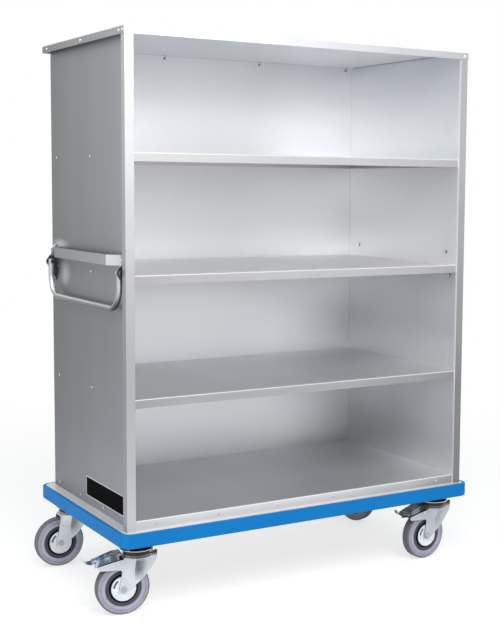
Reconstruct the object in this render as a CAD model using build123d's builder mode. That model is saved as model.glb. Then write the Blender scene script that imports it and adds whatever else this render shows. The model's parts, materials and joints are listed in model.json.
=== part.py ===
from build123d import *
from math import cos, radians, sin
import os

# Open-front cabinet trolley. Millimetres, +Z up, front towards -Y, ground at Z = 0.
# The origin lies on the ground under the middle of the whole outline.

# Cabinet
WIDTH = 1286.0            # over the two corner posts
DEPTH = 696.0             # post face to the rear edge of the side panels
DECK_TOP = 285.0          # ground to the top of the deck
COVER_TOP = 1808.0        # ground to the top of the cover
SHEET = 2.0               # sheet metal of the cabinet
COVER_RIM = 22.5          # height of the cover's turned-down rim
COVER_OVERHANG = 8.0      # the cover passes the side panels' rear edge
COVER_EDGE = 1.5          # bend radius along the cover's edge

POST_FACE = 30.0          # front face of a corner post
POST_LEG = 25.0           # outer leg of a corner post, front to back
POST_LIP = 8.0            # inner lip of a corner post
POST_BEND = 1.2           # bend radius at the corners of a post
PANEL_RECESS = 23.5       # post outer face to side panel outer face
PANEL_FRONT_GAP = 1.0     # panel edge to the inside of the post's face
PANEL_LIP = 17.0          # lip that the cover's rim is riveted to
PANEL_REAR_FLANGE = 20.0  # inward flange behind the back panel

LOWER_SHELF = 692.0       # ground to the tread of each shelf
MIDDLE_SHELF = 1070.0
UPPER_SHELF = 1440.0
SHELF_LIP = 27.5          # height of a shelf's turned-down edge
SHELF_RETURN = 12.0       # hem under a shelf's front edge
SHELF_BEND = 1.5
FLOOR_LIP = 30.5          # deck top to the tread of the floor tray
BASE_ANGLE_LEG = 25.0
HEADER_LEG = 19.0         # angle in the corner of ceiling and back wall

# Deck, bumper and caster rails
LEDGE_SIDE = 11.0         # deck edge outside the posts
LEDGE_FRONT = 15.5        # deck edge in front of the posts and behind the panels
DECK_SHEET = 3.0
DECK_HEIGHT = 42.0        # deck top to the bottom of its flange
DECK_CORNER = 24.0
BUMPER_WALL = 12.0
BUMPER_HEIGHT = 45.0
BUMPER_LIP = 4.0          # lip of the bumper under the deck flange
BUMPER_ROUND = 5.0
BUMPER_TOP_ROUND = 2.5
RAIL_WIDTH = 90.0
RAIL_SHEET = 3.0
RAIL_END = 1.0            # rail beyond the caster plates
RAIL_GAP = 0.5            # rail to the bumper's lip

# Rivets and bolts
RIVET_HEAD_R = 4.6
RIVET_HEAD_H = 1.6
RIVET_R = 2.4
HOLE_CLEARANCE = 0.15
SHELF_RIVET_DROP = 8.0    # below the tread
SHELF_RIVET_FIRST = 30.5  # behind the post face
SHELF_RIVET_PITCH = 304.5
BASE_RIVET_RISE = 19.5    # above the deck
BASE_RIVET_FIRST = 43.0
BASE_RIVET_PITCH = 200.5
COVER_RIVET_MARGIN = 36.0
COVER_POST_RIVET = 10.0   # behind the post face, through the post's leg
FLOOR_RIVET_MARGIN = 100.0
FLOOR_RIVETS = 6
HEADER_RIVETS = 4
HEADER_RIVET_MARGIN = 57.0

# Handles
HANDLE_AXIS_Z = 1077.0    # height of the bail's pivots
HANDLE_AXIS_OUT = 23.5    # pivots outside the side panel
BRACKET_CLEARANCE = 10.5  # behind the front post's outer leg
BAIL_R = 9.0
BAIL_DROP = 113.5         # pivots to the centre of the grip
BAIL_BEND = 69.0
BAIL_END = 9.0            # leg above the pivot
PIVOT_R = 4.0
PIVOT_CLEARANCE = 0.05
PIVOT_HEAD_R = 7.0
PIVOT_HEAD_H = 4.0
PIVOT_NUT_H = 5.0
EAR_GAP = 0.5
EAR = 4.0                 # thickness of the bracket
EAR_LOBE_R = 13.0
BRACKET_WIDTH = 23.0
BRACKET_BELOW = 63.5      # bracket foot below the pivot
BRACKET_ABOVE = 57.5      # bracket top above the pivot
BRACKET_NECK = 19.0       # reach of the bracket's upper lobe from the panel
BRACKET_BOLT_IN = 13.5    # bolt row from the outer face of the ear
BRACKET_BOLT_DROPS = (24.0, 47.0)   # the upper row also goes through the middle shelf
GUARD_OUT = 37.5          # panel to the guard's outer face
GUARD_BAR = 3.0
GUARD_HEIGHT = 32.5
GUARD_BOTTOM = 1096.5
GUARD_INSET = 10.0        # guard's ends inside the bail's leg centres
GUARD_SLANT = 38.5        # length of a slanted end along the panel
GUARD_FOOT = 24.5
GUARD_BEND = 10.0
BOLT_R = 3.0
BOLT_HEAD_R = 5.5
BOLT_HEAD_H = 3.6
BOLT_NUT_R = 6.0
BOLT_NUT_H = 4.5

# Blank name plate on the left side panel
PLATE_FIRST = 84.0        # behind the post face
PLATE_LENGTH = 302.0
PLATE_RISE = 34.0         # above the deck
PLATE_HEIGHT = 56.0
PLATE_SHEET = 1.5
PLATE_CORNER = 2.0

# Casters. In a caster's own frame the swivel axis is at the origin
# and the wheel trails towards -X.
WHEEL_R = 85.0
TRAIL = 46.0
CASTER_LEFT = 70.0        # swivel axis inside the left post
CASTER_RIGHT = 47.0       # swivel axis inside the right post
CASTER_FRONT = 93.0       # swivel axis behind the post face
CASTER_REAR = 30.0        # swivel axis before the panels' rear edge
CASTER_HEIGHT = 221.0
CASTER_PLATE_X = 105.0
CASTER_PLATE_Y = 85.0
CASTER_PLATE = 5.0
CASTER_PLATE_CORNER = 8.0
CASTER_BOLT_X = 80.0
CASTER_BOLT_Y = 60.0
CASTER_BOLT_R = 4.0
CASTER_BOLT_HEAD_R = 6.0
CASTER_BOLT_HEAD_H = 4.0
CASTER_NUT_R = 6.5
CASTER_NUT_H = 6.5
CASTER_BOLT_END = 1.0     # bolt beyond its nut
HOUSING_TOP_R = 36.0
HOUSING_MID_R = 42.0
HOUSING_RIM_R = 52.0
HOUSING_DEPTH = 10.0      # plate underside to the rim's lower edge
HOUSING_RIM = 2.0
HOUSING_SHOULDER = 4.0
BALL_RING_R = 33.0
BALL_GAP = 4.0            # rim to lower race
RACE_GAP = 0.4            # running gap under the ball ring
RACE_R = 43.0
RACE_HEIGHT = 18.0
RACE_FLARE = 6.0          # the race widens to the crown over this height
CROWN = 6.0
CROWN_R = 47.0
SHOULDER_DROP = 46.0      # crown flows into the legs over this height
SHOULDER_FRONT = 22.0
KINGPIN_R = 8.0
KINGPIN_CLEARANCE = 0.05
KINGPIN_NUT_R = 11.0
KINGPIN_NUT_H = 8.0
KINGPIN_NUT_GAP = 0.4
FORK_INNER = 46.0         # between the legs
FORK_SHEET = 4.0
LEG_END_R = 14.0
LEG_FRONT = 60.0          # front edge of the legs under the crown
LEG_FRONT_RISE = 20.0     # front corners of the legs above the crown
LEG_FRONT_ROUND = 3.0
LEG_TOP_BEND = 18.0       # the legs' upper edge rises from here to the front
LEG_BROW_Z = 170.0        # the front edge turns inward here
LEG_BROW_ROUND = 50.0
LEG_KNEE_X = 14.0         # second bend of the front edge
LEG_KNEE_Z = 112.0
LEG_KNEE_ROUND = 70.0
LEG_REAR = -51.0          # rear edge of a braked fork's leg, under its arm
CROWN_REAR = -46.0        # rear edge of the crown
ARM_ROOT_Z = 146.0        # lower edge of the arm where it meets the leg
ARM_ROOT_ROUND = 8.0
ARM_TIP_X = -130.0
ARM_TIP_Z = 163.0
ARM_LOW_X = -124.0
ARM_LOW_Z = 150.5
ARM_TIP_ROUND = 3.0
ARM_SHOULDER_X = -64.0
ARM_SHOULDER_DROP = 6.5   # below the crown
AXLE_R = 6.0
AXLE_CLEARANCE = 0.06
AXLE_HEAD_R = 10.0
AXLE_HEAD_H = 5.0
WHEEL_HALF = 19.0
RIM_HALF = 16.0
RIM_R = 57.0
RIM_INNER_R = 46.0
RIM_WEB_HALF = 6.0
HUB_R = 16.0
HUB_HALF = 20.0
HUB_FLARE = 2.0           # hub radius grows this much towards the web
GUARD_GAP = 0.4
DISC_R = 40.0
DISC_EDGE = 1.5
TREAD_ROUND = 6.0
TREAD_GROOVE_R = 71.0
TREAD_GROOVE = 1.2

# Brake pedal of the two front casters
PEDAL_PIN_X = -66.0
PEDAL_PIN_Z = 172.0
PEDAL_PIN_R = 3.0
PEDAL_PIN_HEAD_R = 4.5
PEDAL_PIN_HEAD_H = 2.2
PEDAL_GAP = 0.5           # to the fork's arms
PEDAL_SHEET = 2.2
PEDAL_END_X = -137.0      # the toe starts here
PEDAL_END_Z = 178.0
PEDAL_BEND_X = -78.0
PEDAL_BEND_Z = 198.0
PEDAL_BEND_ROUND = 20.0
PEDAL_HEAD_X = -52.0
PEDAL_HEAD_Z = 200.0
PEDAL_EAR_R = 8.0
PEDAL_EAR_FRONT = -60.0
PEDAL_EAR_DROP = 17.0     # height of the folded side at the toe
PEDAL_TOE_X = -175.0
PEDAL_TOE_Z = 193.0
PEDAL_TOE_DIP = 8.0
PEDAL_TOE_HALF = 8.0      # half the toe's width at its tip

# Resting swivel angle of each caster: the wheel trails towards -X turned by this
SWIVEL_FL = -9.0
SWIVEL_FR = 4.0
SWIVEL_RL = -2.0
SWIVEL_RR = 110.0

# Places that follow from the sizes above
toe_angle = radians(abs(SWIVEL_FL))
cover_proud = SHEET
rivet_length = 2 * SHEET
reach_left = -PEDAL_TOE_X * cos(toe_angle) + PEDAL_TOE_HALF * sin(toe_angle) - CASTER_LEFT
reach_right = LEDGE_SIDE + BUMPER_WALL
MIDDLE = (reach_left - reach_right) / 2
LEFT = MIDDLE - WIDTH / 2
RIGHT = MIDDLE + WIDTH / 2
FRONT = -DEPTH / 2
REAR = DEPTH / 2
inner_left = LEFT + PANEL_RECESS + SHEET
inner_right = RIGHT - PANEL_RECESS - SHEET
panel_left = LEFT + PANEL_RECESS
shelf_front = FRONT + POST_LIP
wall_front = REAR - 2 * SHEET
cover_under = COVER_TOP - SHEET
bumper_bottom = DECK_TOP - BUMPER_HEIGHT
mirror_plane = Plane.YZ.offset(MIDDLE)

os.makedirs("parts", exist_ok=True)


def save(piece, name):
    piece.label = name
    export_step(piece, "parts/" + name + ".step")


def slab(x0, x1, y0, y1, z0, z1, mode=Mode.ADD):
    """A block between two corners."""
    with Locations(((x0 + x1) / 2, (y0 + y1) / 2, (z0 + z1) / 2)):
        Box(x1 - x0, y1 - y0, z1 - z0, mode=mode)


def spot(x, y, z, outward):
    """A place on a sheet with its local Z pointing outward."""
    return Plane(origin=(x, y, z), z_dir=outward).location


def punch(spots, radius, depth):
    """Round holes at the same places as the fasteners that fill them."""
    with Locations(*spots):
        Cylinder(radius + HOLE_CLEARANCE, depth, mode=Mode.SUBTRACT)


def save_mirrored(piece, name):
    with BuildPart() as other:
        mirror(piece, about=mirror_plane)
    save(other.part, name)


# Rivet places
shelf_levels = (LOWER_SHELF, MIDDLE_SHELF, UPPER_SHELF)
shelf_rows = [FRONT + SHELF_RIVET_FIRST + i * SHELF_RIVET_PITCH for i in range(3)]
base_rivets = int((DEPTH - 2 * BASE_RIVET_FIRST) // BASE_RIVET_PITCH) + 1
base_rows = [FRONT + BASE_RIVET_FIRST + i * BASE_RIVET_PITCH for i in range(base_rivets)]
left_rivets = [
    spot(panel_left, y, level - SHELF_RIVET_DROP, (-1, 0, 0)) for level in shelf_levels for y in shelf_rows
]
left_base_rivets = [spot(panel_left, y, DECK_TOP + BASE_RIVET_RISE, (-1, 0, 0)) for y in base_rows]
cover_rows = (FRONT + COVER_RIVET_MARGIN, 0, REAR - COVER_RIVET_MARGIN)
rim_mid = COVER_TOP - COVER_RIM / 2
left_cover_rivets = [spot(LEFT - cover_proud, y, rim_mid, (-1, 0, 0)) for y in cover_rows]
left_post_rivets = [
    spot(LEFT - cover_proud, FRONT + COVER_POST_RIVET, rim_mid, (-1, 0, 0)),
    spot(LEFT + POST_FACE / 2, FRONT - cover_proud, rim_mid, (0, -1, 0)),
]
right_post_rivets = [
    spot(RIGHT + cover_proud, FRONT + COVER_POST_RIVET, rim_mid, (1, 0, 0)),
    spot(RIGHT - POST_FACE / 2, FRONT - cover_proud, rim_mid, (0, -1, 0)),
]
floor_rivet_span = WIDTH - 2 * FLOOR_RIVET_MARGIN
floor_rivet_spots = [
    spot(LEFT + FLOOR_RIVET_MARGIN + i * floor_rivet_span / (FLOOR_RIVETS - 1), shelf_front,
         DECK_TOP + FLOOR_LIP / 2, (0, -1, 0))
    for i in range(FLOOR_RIVETS)
]
header_span = WIDTH - 2 * HEADER_RIVET_MARGIN
header_xs = [LEFT + HEADER_RIVET_MARGIN + i * header_span / (HEADER_RIVETS - 1) for i in range(HEADER_RIVETS)]
header_mid = SHEET + (HEADER_LEG - SHEET) / 2
wall_rivets = [spot(x, wall_front - SHEET, cover_under - header_mid, (0, -1, 0)) for x in header_xs]
ceiling_rivets = [spot(x, wall_front - header_mid, cover_under - SHEET, (0, 0, -1)) for x in header_xs]

# Handle fastener places on the left side
ear_front = FRONT + POST_LEG + BRACKET_CLEARANCE
bail_half = -ear_front - EAR - EAR_GAP - BAIL_R
ear_rear = bail_half + BAIL_R + EAR_GAP
guard_end = bail_half - GUARD_INSET
guard_foot = guard_end - GUARD_FOOT
guard_half = guard_foot - GUARD_SLANT
guard_foot_mid = guard_end - GUARD_FOOT / 2
shelf_bolts, wall_bolts = (
    [
        spot(panel_left - EAR, ear + BRACKET_BOLT_IN, HANDLE_AXIS_Z - drop, (-1, 0, 0))
        for ear in (ear_front, ear_rear)
    ]
    for drop in BRACKET_BOLT_DROPS
)
bracket_bolts = shelf_bolts + wall_bolts
right_shelf_bolts = [
    spot(2 * MIDDLE - s.position.X, s.position.Y, s.position.Z, (1, 0, 0)) for s in shelf_bolts
]
guard_bolts = [
    spot(panel_left - GUARD_BAR, side * guard_foot_mid, GUARD_BOTTOM + GUARD_HEIGHT / 2, (-1, 0, 0))
    for side in (-1, 1)
]

# Deck: a pressed tray, open underneath
deck_x = WIDTH + 2 * LEDGE_SIDE
deck_y = DEPTH + 2 * LEDGE_FRONT
with BuildPart() as deck:
    with BuildSketch(Plane.XY.offset(DECK_TOP - DECK_HEIGHT)):
        with Locations((MIDDLE, 0)):
            RectangleRounded(deck_x, deck_y, DECK_CORNER)
    extrude(amount=DECK_HEIGHT)
    with BuildSketch(Plane.XY.offset(DECK_TOP - DECK_HEIGHT)):
        with Locations((MIDDLE, 0)):
            RectangleRounded(deck_x - 2 * DECK_SHEET, deck_y - 2 * DECK_SHEET, DECK_CORNER - DECK_SHEET)
    extrude(amount=DECK_HEIGHT - DECK_SHEET, mode=Mode.SUBTRACT)
save(deck.part, "deck")

# Bumper: one ring round the deck, with a lip under its flange
bumper_x = deck_x + 2 * BUMPER_WALL
bumper_y = deck_y + 2 * BUMPER_WALL
with BuildPart() as bumper:
    with BuildSketch(Plane.XY.offset(bumper_bottom)):
        with Locations((MIDDLE, 0)):
            RectangleRounded(bumper_x, bumper_y, DECK_CORNER + BUMPER_WALL)
    extrude(amount=BUMPER_HEIGHT)
    fillet(bumper.edges().group_by(Axis.Z)[0], BUMPER_ROUND)
    fillet(bumper.edges().group_by(Axis.Z)[-1], BUMPER_TOP_ROUND)
    with BuildSketch(Plane.XY.offset(bumper_bottom)):
        with Locations((MIDDLE, 0)):
            RectangleRounded(deck_x - 2 * BUMPER_LIP, deck_y - 2 * BUMPER_LIP, DECK_CORNER - BUMPER_LIP)
    extrude(amount=BUMPER_HEIGHT, mode=Mode.SUBTRACT)
    with BuildSketch(Plane.XY.offset(DECK_TOP - DECK_HEIGHT)):
        with Locations((MIDDLE, 0)):
            RectangleRounded(deck_x, deck_y, DECK_CORNER)
    extrude(amount=DECK_HEIGHT, mode=Mode.SUBTRACT)
save(bumper.part, "bumper")

# Caster places
caster_left = LEFT + CASTER_LEFT
caster_right = RIGHT - CASTER_RIGHT
caster_front = FRONT + CASTER_FRONT
caster_rear = REAR - CASTER_REAR
caster_spots = {
    "front_left": (caster_left, caster_front, SWIVEL_FL, True),
    "front_right": (caster_right, caster_front, SWIVEL_FR, True),
    "rear_left": (caster_left, caster_rear, SWIVEL_RL, False),
    "rear_right": (caster_right, caster_rear, SWIVEL_RR, False),
}
caster_bolt_spots = [
    spot(x + dx, y + dy, CASTER_HEIGHT - CASTER_PLATE, (0, 0, -1))
    for x, y, angle, braked in caster_spots.values()
    for dx in (-CASTER_BOLT_X / 2, CASTER_BOLT_X / 2)
    for dy in (-CASTER_BOLT_Y / 2, CASTER_BOLT_Y / 2)
]

# Caster rails: channels under the deck, open at the top
rail_x0 = caster_left - CASTER_PLATE_X / 2 - RAIL_END
rail_x1 = caster_right + CASTER_PLATE_X / 2 + RAIL_END
rail_top = DECK_TOP - DECK_SHEET
rail_inset = BUMPER_LIP + RAIL_GAP
for rail_name, rail_y in (("front_caster_rail", caster_front), ("rear_caster_rail", caster_rear)):
    rail_y0 = rail_y - RAIL_WIDTH / 2
    rail_y1 = rail_y + RAIL_WIDTH / 2
    with BuildPart() as rail:
        slab(rail_x0, rail_x1, rail_y0, rail_y1, CASTER_HEIGHT, rail_top)
        slab(rail_x0, rail_x1, rail_y0 + RAIL_SHEET, rail_y1 - RAIL_SHEET,
             CASTER_HEIGHT + RAIL_SHEET, rail_top, Mode.SUBTRACT)
        with BuildSketch(Plane.XY.offset(CASTER_HEIGHT)):
            with Locations((MIDDLE, 0)):
                RectangleRounded(deck_x - 2 * rail_inset, deck_y - 2 * rail_inset, DECK_CORNER - rail_inset)
        extrude(amount=rail_top - CASTER_HEIGHT, mode=Mode.INTERSECT)
        punch([s for s in caster_bolt_spots if rail_y0 < s.position.Y < rail_y1],
              CASTER_BOLT_R, 4 * CASTER_PLATE)
    save(rail.part, rail_name)

# Bolts and nuts that hold the caster plates to the rails
with BuildPart() as caster_bolt:
    with BuildSketch():
        Circle(CASTER_BOLT_HEAD_R)
    extrude(amount=CASTER_BOLT_HEAD_H)
    fillet(caster_bolt.edges().group_by(Axis.Z)[-1], CASTER_BOLT_HEAD_H / 2)
    with BuildSketch():
        Circle(CASTER_BOLT_R)
    extrude(amount=-(CASTER_PLATE + RAIL_SHEET + CASTER_NUT_H + CASTER_BOLT_END))
    with BuildSketch(Plane.XY.offset(-CASTER_PLATE - RAIL_SHEET)):
        RegularPolygon(CASTER_NUT_R, 6)
    extrude(amount=-CASTER_NUT_H)
with BuildPart() as caster_bolts:
    with Locations(*caster_bolt_spots):
        add(caster_bolt.part)
save(caster_bolts.part, "caster_bolts")

# Base angles under the floor tray's front and rear edges
angle_front = shelf_front + SHEET
angle_rear = wall_front - SHEET
angle_top = DECK_TOP + FLOOR_LIP - SHEET
with BuildPart() as base_angles:
    slab(inner_left + SHEET, inner_right - SHEET, angle_front, angle_front + SHEET, DECK_TOP, angle_top)
    slab(inner_left + SHEET, inner_right - SHEET, angle_front, angle_front + BASE_ANGLE_LEG,
         DECK_TOP, DECK_TOP + SHEET)
    slab(inner_left + SHEET, inner_right - SHEET, angle_rear - SHEET, angle_rear, DECK_TOP, angle_top)
    slab(inner_left + SHEET, inner_right - SHEET, angle_rear - BASE_ANGLE_LEG, angle_rear,
         DECK_TOP, DECK_TOP + SHEET)
    punch(floor_rivet_spots, RIVET_R, 4 * rivet_length)
save(base_angles.part, "base_angles")

# Side panels: sheet with an outward flange and lip under the cover and an inward rear flange
panel_top = cover_under
with BuildPart() as side_panel:
    slab(panel_left, inner_left, FRONT + SHEET + PANEL_FRONT_GAP, REAR, DECK_TOP, panel_top)
    slab(LEFT - cover_proud + SHEET, inner_left, FRONT + POST_LEG + SHEET, REAR,
         panel_top - SHEET, panel_top)
    slab(LEFT - cover_proud + SHEET, LEFT - cover_proud + 2 * SHEET, FRONT + POST_LEG + SHEET, REAR,
         panel_top - PANEL_LIP, panel_top)
    slab(inner_left, inner_left + PANEL_REAR_FLANGE, REAR - SHEET, REAR, DECK_TOP, panel_top)
    punch(left_rivets + left_base_rivets, RIVET_R, 4 * SHEET)
    punch(left_cover_rivets, RIVET_R, 4 * rivet_length)
    punch(bracket_bolts + guard_bolts, BOLT_R, 8 * SHEET)
save(side_panel.part, "left_side_panel")
save_mirrored(side_panel.part, "right_side_panel")

# Corner posts: closed folded section with an inner lip, standing on the deck
with BuildPart() as post:
    with BuildSketch(Plane.XY.offset(DECK_TOP)):
        with Locations((LEFT + POST_FACE / 2, FRONT + SHEET / 2)):
            Rectangle(POST_FACE, SHEET)
        with Locations((LEFT + SHEET / 2, FRONT + POST_LEG / 2)):
            Rectangle(SHEET, POST_LEG)
        with Locations((LEFT + POST_FACE - SHEET / 2, FRONT + POST_LIP / 2)):
            Rectangle(SHEET, POST_LIP)
        with Locations((LEFT + PANEL_RECESS / 2, FRONT + POST_LEG - SHEET / 2)):
            Rectangle(PANEL_RECESS, SHEET)
    extrude(amount=cover_under - DECK_TOP)
    punch(left_post_rivets, RIVET_R, 2 * rivet_length)
    front_corners = post.edges().filter_by(Axis.Z).group_by(Axis.Y)[0]
    fillet(front_corners, POST_BEND)
save(post.part, "left_front_post")
save_mirrored(post.part, "right_front_post")

# Back panel: flat sheet between the side panels
with BuildPart() as back_panel:
    slab(inner_left, inner_right, wall_front, wall_front + SHEET, DECK_TOP, cover_under)
    punch(wall_rivets, RIVET_R, 4 * rivet_length)
save(back_panel.part, "back_panel")

# Header angle in the corner of ceiling and back wall
with BuildPart() as header:
    slab(inner_left, inner_right, wall_front - SHEET, wall_front, cover_under - HEADER_LEG, cover_under)
    slab(inner_left, inner_right, wall_front - HEADER_LEG, wall_front, cover_under - SHEET, cover_under)
    punch(wall_rivets + ceiling_rivets, RIVET_R, 4 * SHEET)
save(header.part, "rear_header")

# Top cover: sheet with a turned-down rim all round
cover_x0 = LEFT - cover_proud
cover_x1 = RIGHT + cover_proud
cover_y0 = FRONT - cover_proud
cover_y1 = REAR + COVER_OVERHANG
right_cover_rivets = [spot(cover_x1, s.position.Y, s.position.Z, (1, 0, 0)) for s in left_cover_rivets]
with BuildPart() as cover:
    slab(cover_x0, cover_x1, cover_y0, cover_y1, COVER_TOP - COVER_RIM, COVER_TOP)
    fillet(cover.edges().filter_by(Axis.Z), COVER_EDGE)
    fillet(cover.edges().group_by(Axis.Z)[-1], COVER_EDGE)
    slab(cover_x0 + SHEET, cover_x1 - SHEET, cover_y0 + SHEET, cover_y1 - SHEET,
         COVER_TOP - COVER_RIM, cover_under, Mode.SUBTRACT)
    punch(left_cover_rivets + right_cover_rivets, RIVET_R, 2 * rivet_length)
    punch(left_post_rivets + right_post_rivets, RIVET_R, 2 * rivet_length)
    punch(ceiling_rivets, RIVET_R, 4 * rivet_length)
save(cover.part, "top_cover")


def tray(level, lip):
    """A shelf or floor: tread with edges turned down on four sides and a hem in front."""
    with BuildPart() as piece:
        slab(inner_left, inner_right, shelf_front, wall_front, level - lip, level)
        fillet(piece.edges().filter_by(Axis.X).group_by(Axis.Y)[0].sort_by(Axis.Z)[-1], SHELF_BEND)
        slab(inner_left + SHEET, inner_right - SHEET, shelf_front + SHEET, wall_front - SHEET,
             level - lip, level - SHEET, Mode.SUBTRACT)
    return piece.part


right_rivets = [spot(inner_right + SHEET, s.position.Y, s.position.Z, (1, 0, 0)) for s in left_rivets]
right_base_rivets = [spot(inner_right + SHEET, s.position.Y, s.position.Z, (1, 0, 0)) for s in left_base_rivets]

# Shelves
shelf_names = ("lower_shelf", "middle_shelf", "upper_shelf")
for shelf_name, level in zip(shelf_names, shelf_levels):
    with BuildPart() as shelf:
        add(tray(level, SHELF_LIP))
        slab(inner_left + SHEET, inner_right - SHEET, shelf_front, shelf_front + SHELF_RETURN,
             level - SHELF_LIP, level - SHELF_LIP + SHEET)
        punch(left_rivets + right_rivets, RIVET_R, 4 * rivet_length)
        punch(shelf_bolts + right_shelf_bolts, BOLT_R, 8 * SHEET)
    save(shelf.part, shelf_name)

# Floor tray on the deck
with BuildPart() as floor:
    add(tray(DECK_TOP + FLOOR_LIP, FLOOR_LIP))
    punch(left_base_rivets + right_base_rivets, RIVET_R, 4 * rivet_length)
    punch(floor_rivet_spots, RIVET_R, 4 * rivet_length)
save(floor.part, "floor_tray")

# Rivets: domed head and shank
with BuildPart() as rivet:
    with BuildSketch():
        Circle(RIVET_HEAD_R)
    extrude(amount=RIVET_HEAD_H)
    fillet(rivet.edges().group_by(Axis.Z)[-1], RIVET_HEAD_H * 0.8)
    with BuildSketch():
        Circle(RIVET_R)
    extrude(amount=-rivet_length)

rivet_groups = {
    "cover_rivets": left_cover_rivets + left_post_rivets + right_cover_rivets + right_post_rivets,
    "side_rivets": left_rivets + left_base_rivets + right_rivets + right_base_rivets,
    "floor_rivets": floor_rivet_spots,
    "back_rivets": wall_rivets + ceiling_rivets,
}
for group_name, group_spots in rivet_groups.items():
    with BuildPart() as rivets:
        with Locations(*group_spots):
            add(rivet.part)
    save(rivets.part, group_name)

# Blank name plate
with BuildPart() as name_plate:
    slab(panel_left - PLATE_SHEET, panel_left, FRONT + PLATE_FIRST, FRONT + PLATE_FIRST + PLATE_LENGTH,
         DECK_TOP + PLATE_RISE, DECK_TOP + PLATE_RISE + PLATE_HEIGHT)
    fillet(name_plate.edges().filter_by(Axis.X), PLATE_CORNER)
save(name_plate.part, "name_plate")

# Handle guards: flat bar bent away from the panel
guard_mid_out = panel_left - GUARD_OUT + GUARD_BAR / 2
guard_mid_in = panel_left - GUARD_BAR / 2
with BuildPart() as guard:
    with BuildLine(Plane.XY.offset(GUARD_BOTTOM + GUARD_HEIGHT / 2)) as guard_path:
        FilletPolyline(
            (guard_mid_in, -guard_end),
            (guard_mid_in, -guard_foot),
            (guard_mid_out, -guard_half),
            (guard_mid_out, guard_half),
            (guard_mid_in, guard_foot),
            (guard_mid_in, guard_end),
            radius=GUARD_BEND,
        )
    with BuildSketch(Plane(origin=(guard_mid_in, -guard_end, GUARD_BOTTOM + GUARD_HEIGHT / 2),
                           x_dir=(1, 0, 0), z_dir=(0, 1, 0))):
        Rectangle(GUARD_BAR, GUARD_HEIGHT)
    sweep(path=guard_path.wire())
    punch(guard_bolts, BOLT_R, 4 * GUARD_BAR)
save(guard.part, "left_handle_guard")
save_mirrored(guard.part, "right_handle_guard")

# Handle bails: round bar bent to a U, hanging from its pivots
axis_x = panel_left - HANDLE_AXIS_OUT
pivot_spots = [spot(axis_x, side * bail_half, HANDLE_AXIS_Z, (0, 1, 0)) for side in (-1, 1)]
with BuildPart() as bail:
    with BuildLine(Plane.YZ.offset(axis_x)) as bail_path:
        FilletPolyline(
            (-bail_half, HANDLE_AXIS_Z + BAIL_END),
            (-bail_half, HANDLE_AXIS_Z - BAIL_DROP),
            (bail_half, HANDLE_AXIS_Z - BAIL_DROP),
            (bail_half, HANDLE_AXIS_Z + BAIL_END),
            radius=BAIL_BEND,
        )
    with BuildSketch(Plane.XY.offset(HANDLE_AXIS_Z + BAIL_END)):
        with Locations((axis_x, -bail_half)):
            Circle(BAIL_R)
    sweep(path=bail_path.wire())
    with Locations(*pivot_spots):
        Cylinder(PIVOT_R + PIVOT_CLEARANCE, 4 * BAIL_R, mode=Mode.SUBTRACT)
save(bail.part, "left_handle_bail")
save_mirrored(bail.part, "right_handle_bail")

# Handle brackets: foot on the panel with an ear that carries the pivot
for bracket_end, ear_y in (("front", ear_front), ("rear", ear_rear)):
    with BuildPart() as bracket:
        slab(panel_left - EAR, panel_left, ear_y, ear_y + BRACKET_WIDTH,
             HANDLE_AXIS_Z - BRACKET_BELOW, HANDLE_AXIS_Z + BRACKET_ABOVE)
        with BuildSketch(Plane.XZ.offset(-ear_y)):
            with BuildLine():
                Polyline(
                    (panel_left, HANDLE_AXIS_Z - BRACKET_BELOW),
                    (axis_x - EAR_LOBE_R * 0.8, HANDLE_AXIS_Z - EAR_LOBE_R * 0.6),
                    (axis_x - EAR_LOBE_R * 0.8, HANDLE_AXIS_Z + EAR_LOBE_R * 0.6),
                    (panel_left - BRACKET_NECK, HANDLE_AXIS_Z + BRACKET_ABOVE / 2),
                    (panel_left - BRACKET_NECK, HANDLE_AXIS_Z + BRACKET_ABOVE * 0.8),
                    (panel_left, HANDLE_AXIS_Z + BRACKET_ABOVE),
                    close=True,
                )
            make_face()
            with Locations((axis_x, HANDLE_AXIS_Z)):
                Circle(EAR_LOBE_R)
        extrude(amount=-EAR)
        punch(bracket_bolts, BOLT_R, 4 * EAR)
        with Locations(spot(axis_x, ear_y, HANDLE_AXIS_Z, (0, 1, 0))):
            Cylinder(PIVOT_R + HOLE_CLEARANCE, 4 * EAR, mode=Mode.SUBTRACT)
    save(bracket.part, "left_" + bracket_end + "_handle_bracket")
    save_mirrored(bracket.part, "right_" + bracket_end + "_handle_bracket")

# Pivot bolts: head outside the ear, nut inside the bail's leg
pivot_stack = EAR + EAR_GAP + 2 * BAIL_R + EAR_GAP
with BuildPart() as pivot_bolt:
    with BuildSketch():
        Circle(PIVOT_HEAD_R)
    extrude(amount=PIVOT_HEAD_H)
    fillet(pivot_bolt.edges().group_by(Axis.Z)[-1], PIVOT_HEAD_H / 2)
    with BuildSketch():
        Circle(PIVOT_R)
    extrude(amount=-pivot_stack - PIVOT_NUT_H)
    with BuildSketch(Plane.XY.offset(-pivot_stack)):
        RegularPolygon(PIVOT_HEAD_R, 6)
    extrude(amount=-PIVOT_NUT_H)
left_pivots = [
    spot(axis_x, ear_front, HANDLE_AXIS_Z, (0, -1, 0)),
    spot(axis_x, ear_rear + EAR, HANDLE_AXIS_Z, (0, 1, 0)),
]
with BuildPart() as pivot_bolts:
    with Locations(*left_pivots):
        add(pivot_bolt.part)
    mirror(about=mirror_plane)
save(pivot_bolts.part, "bail_pivot_bolts")


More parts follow.
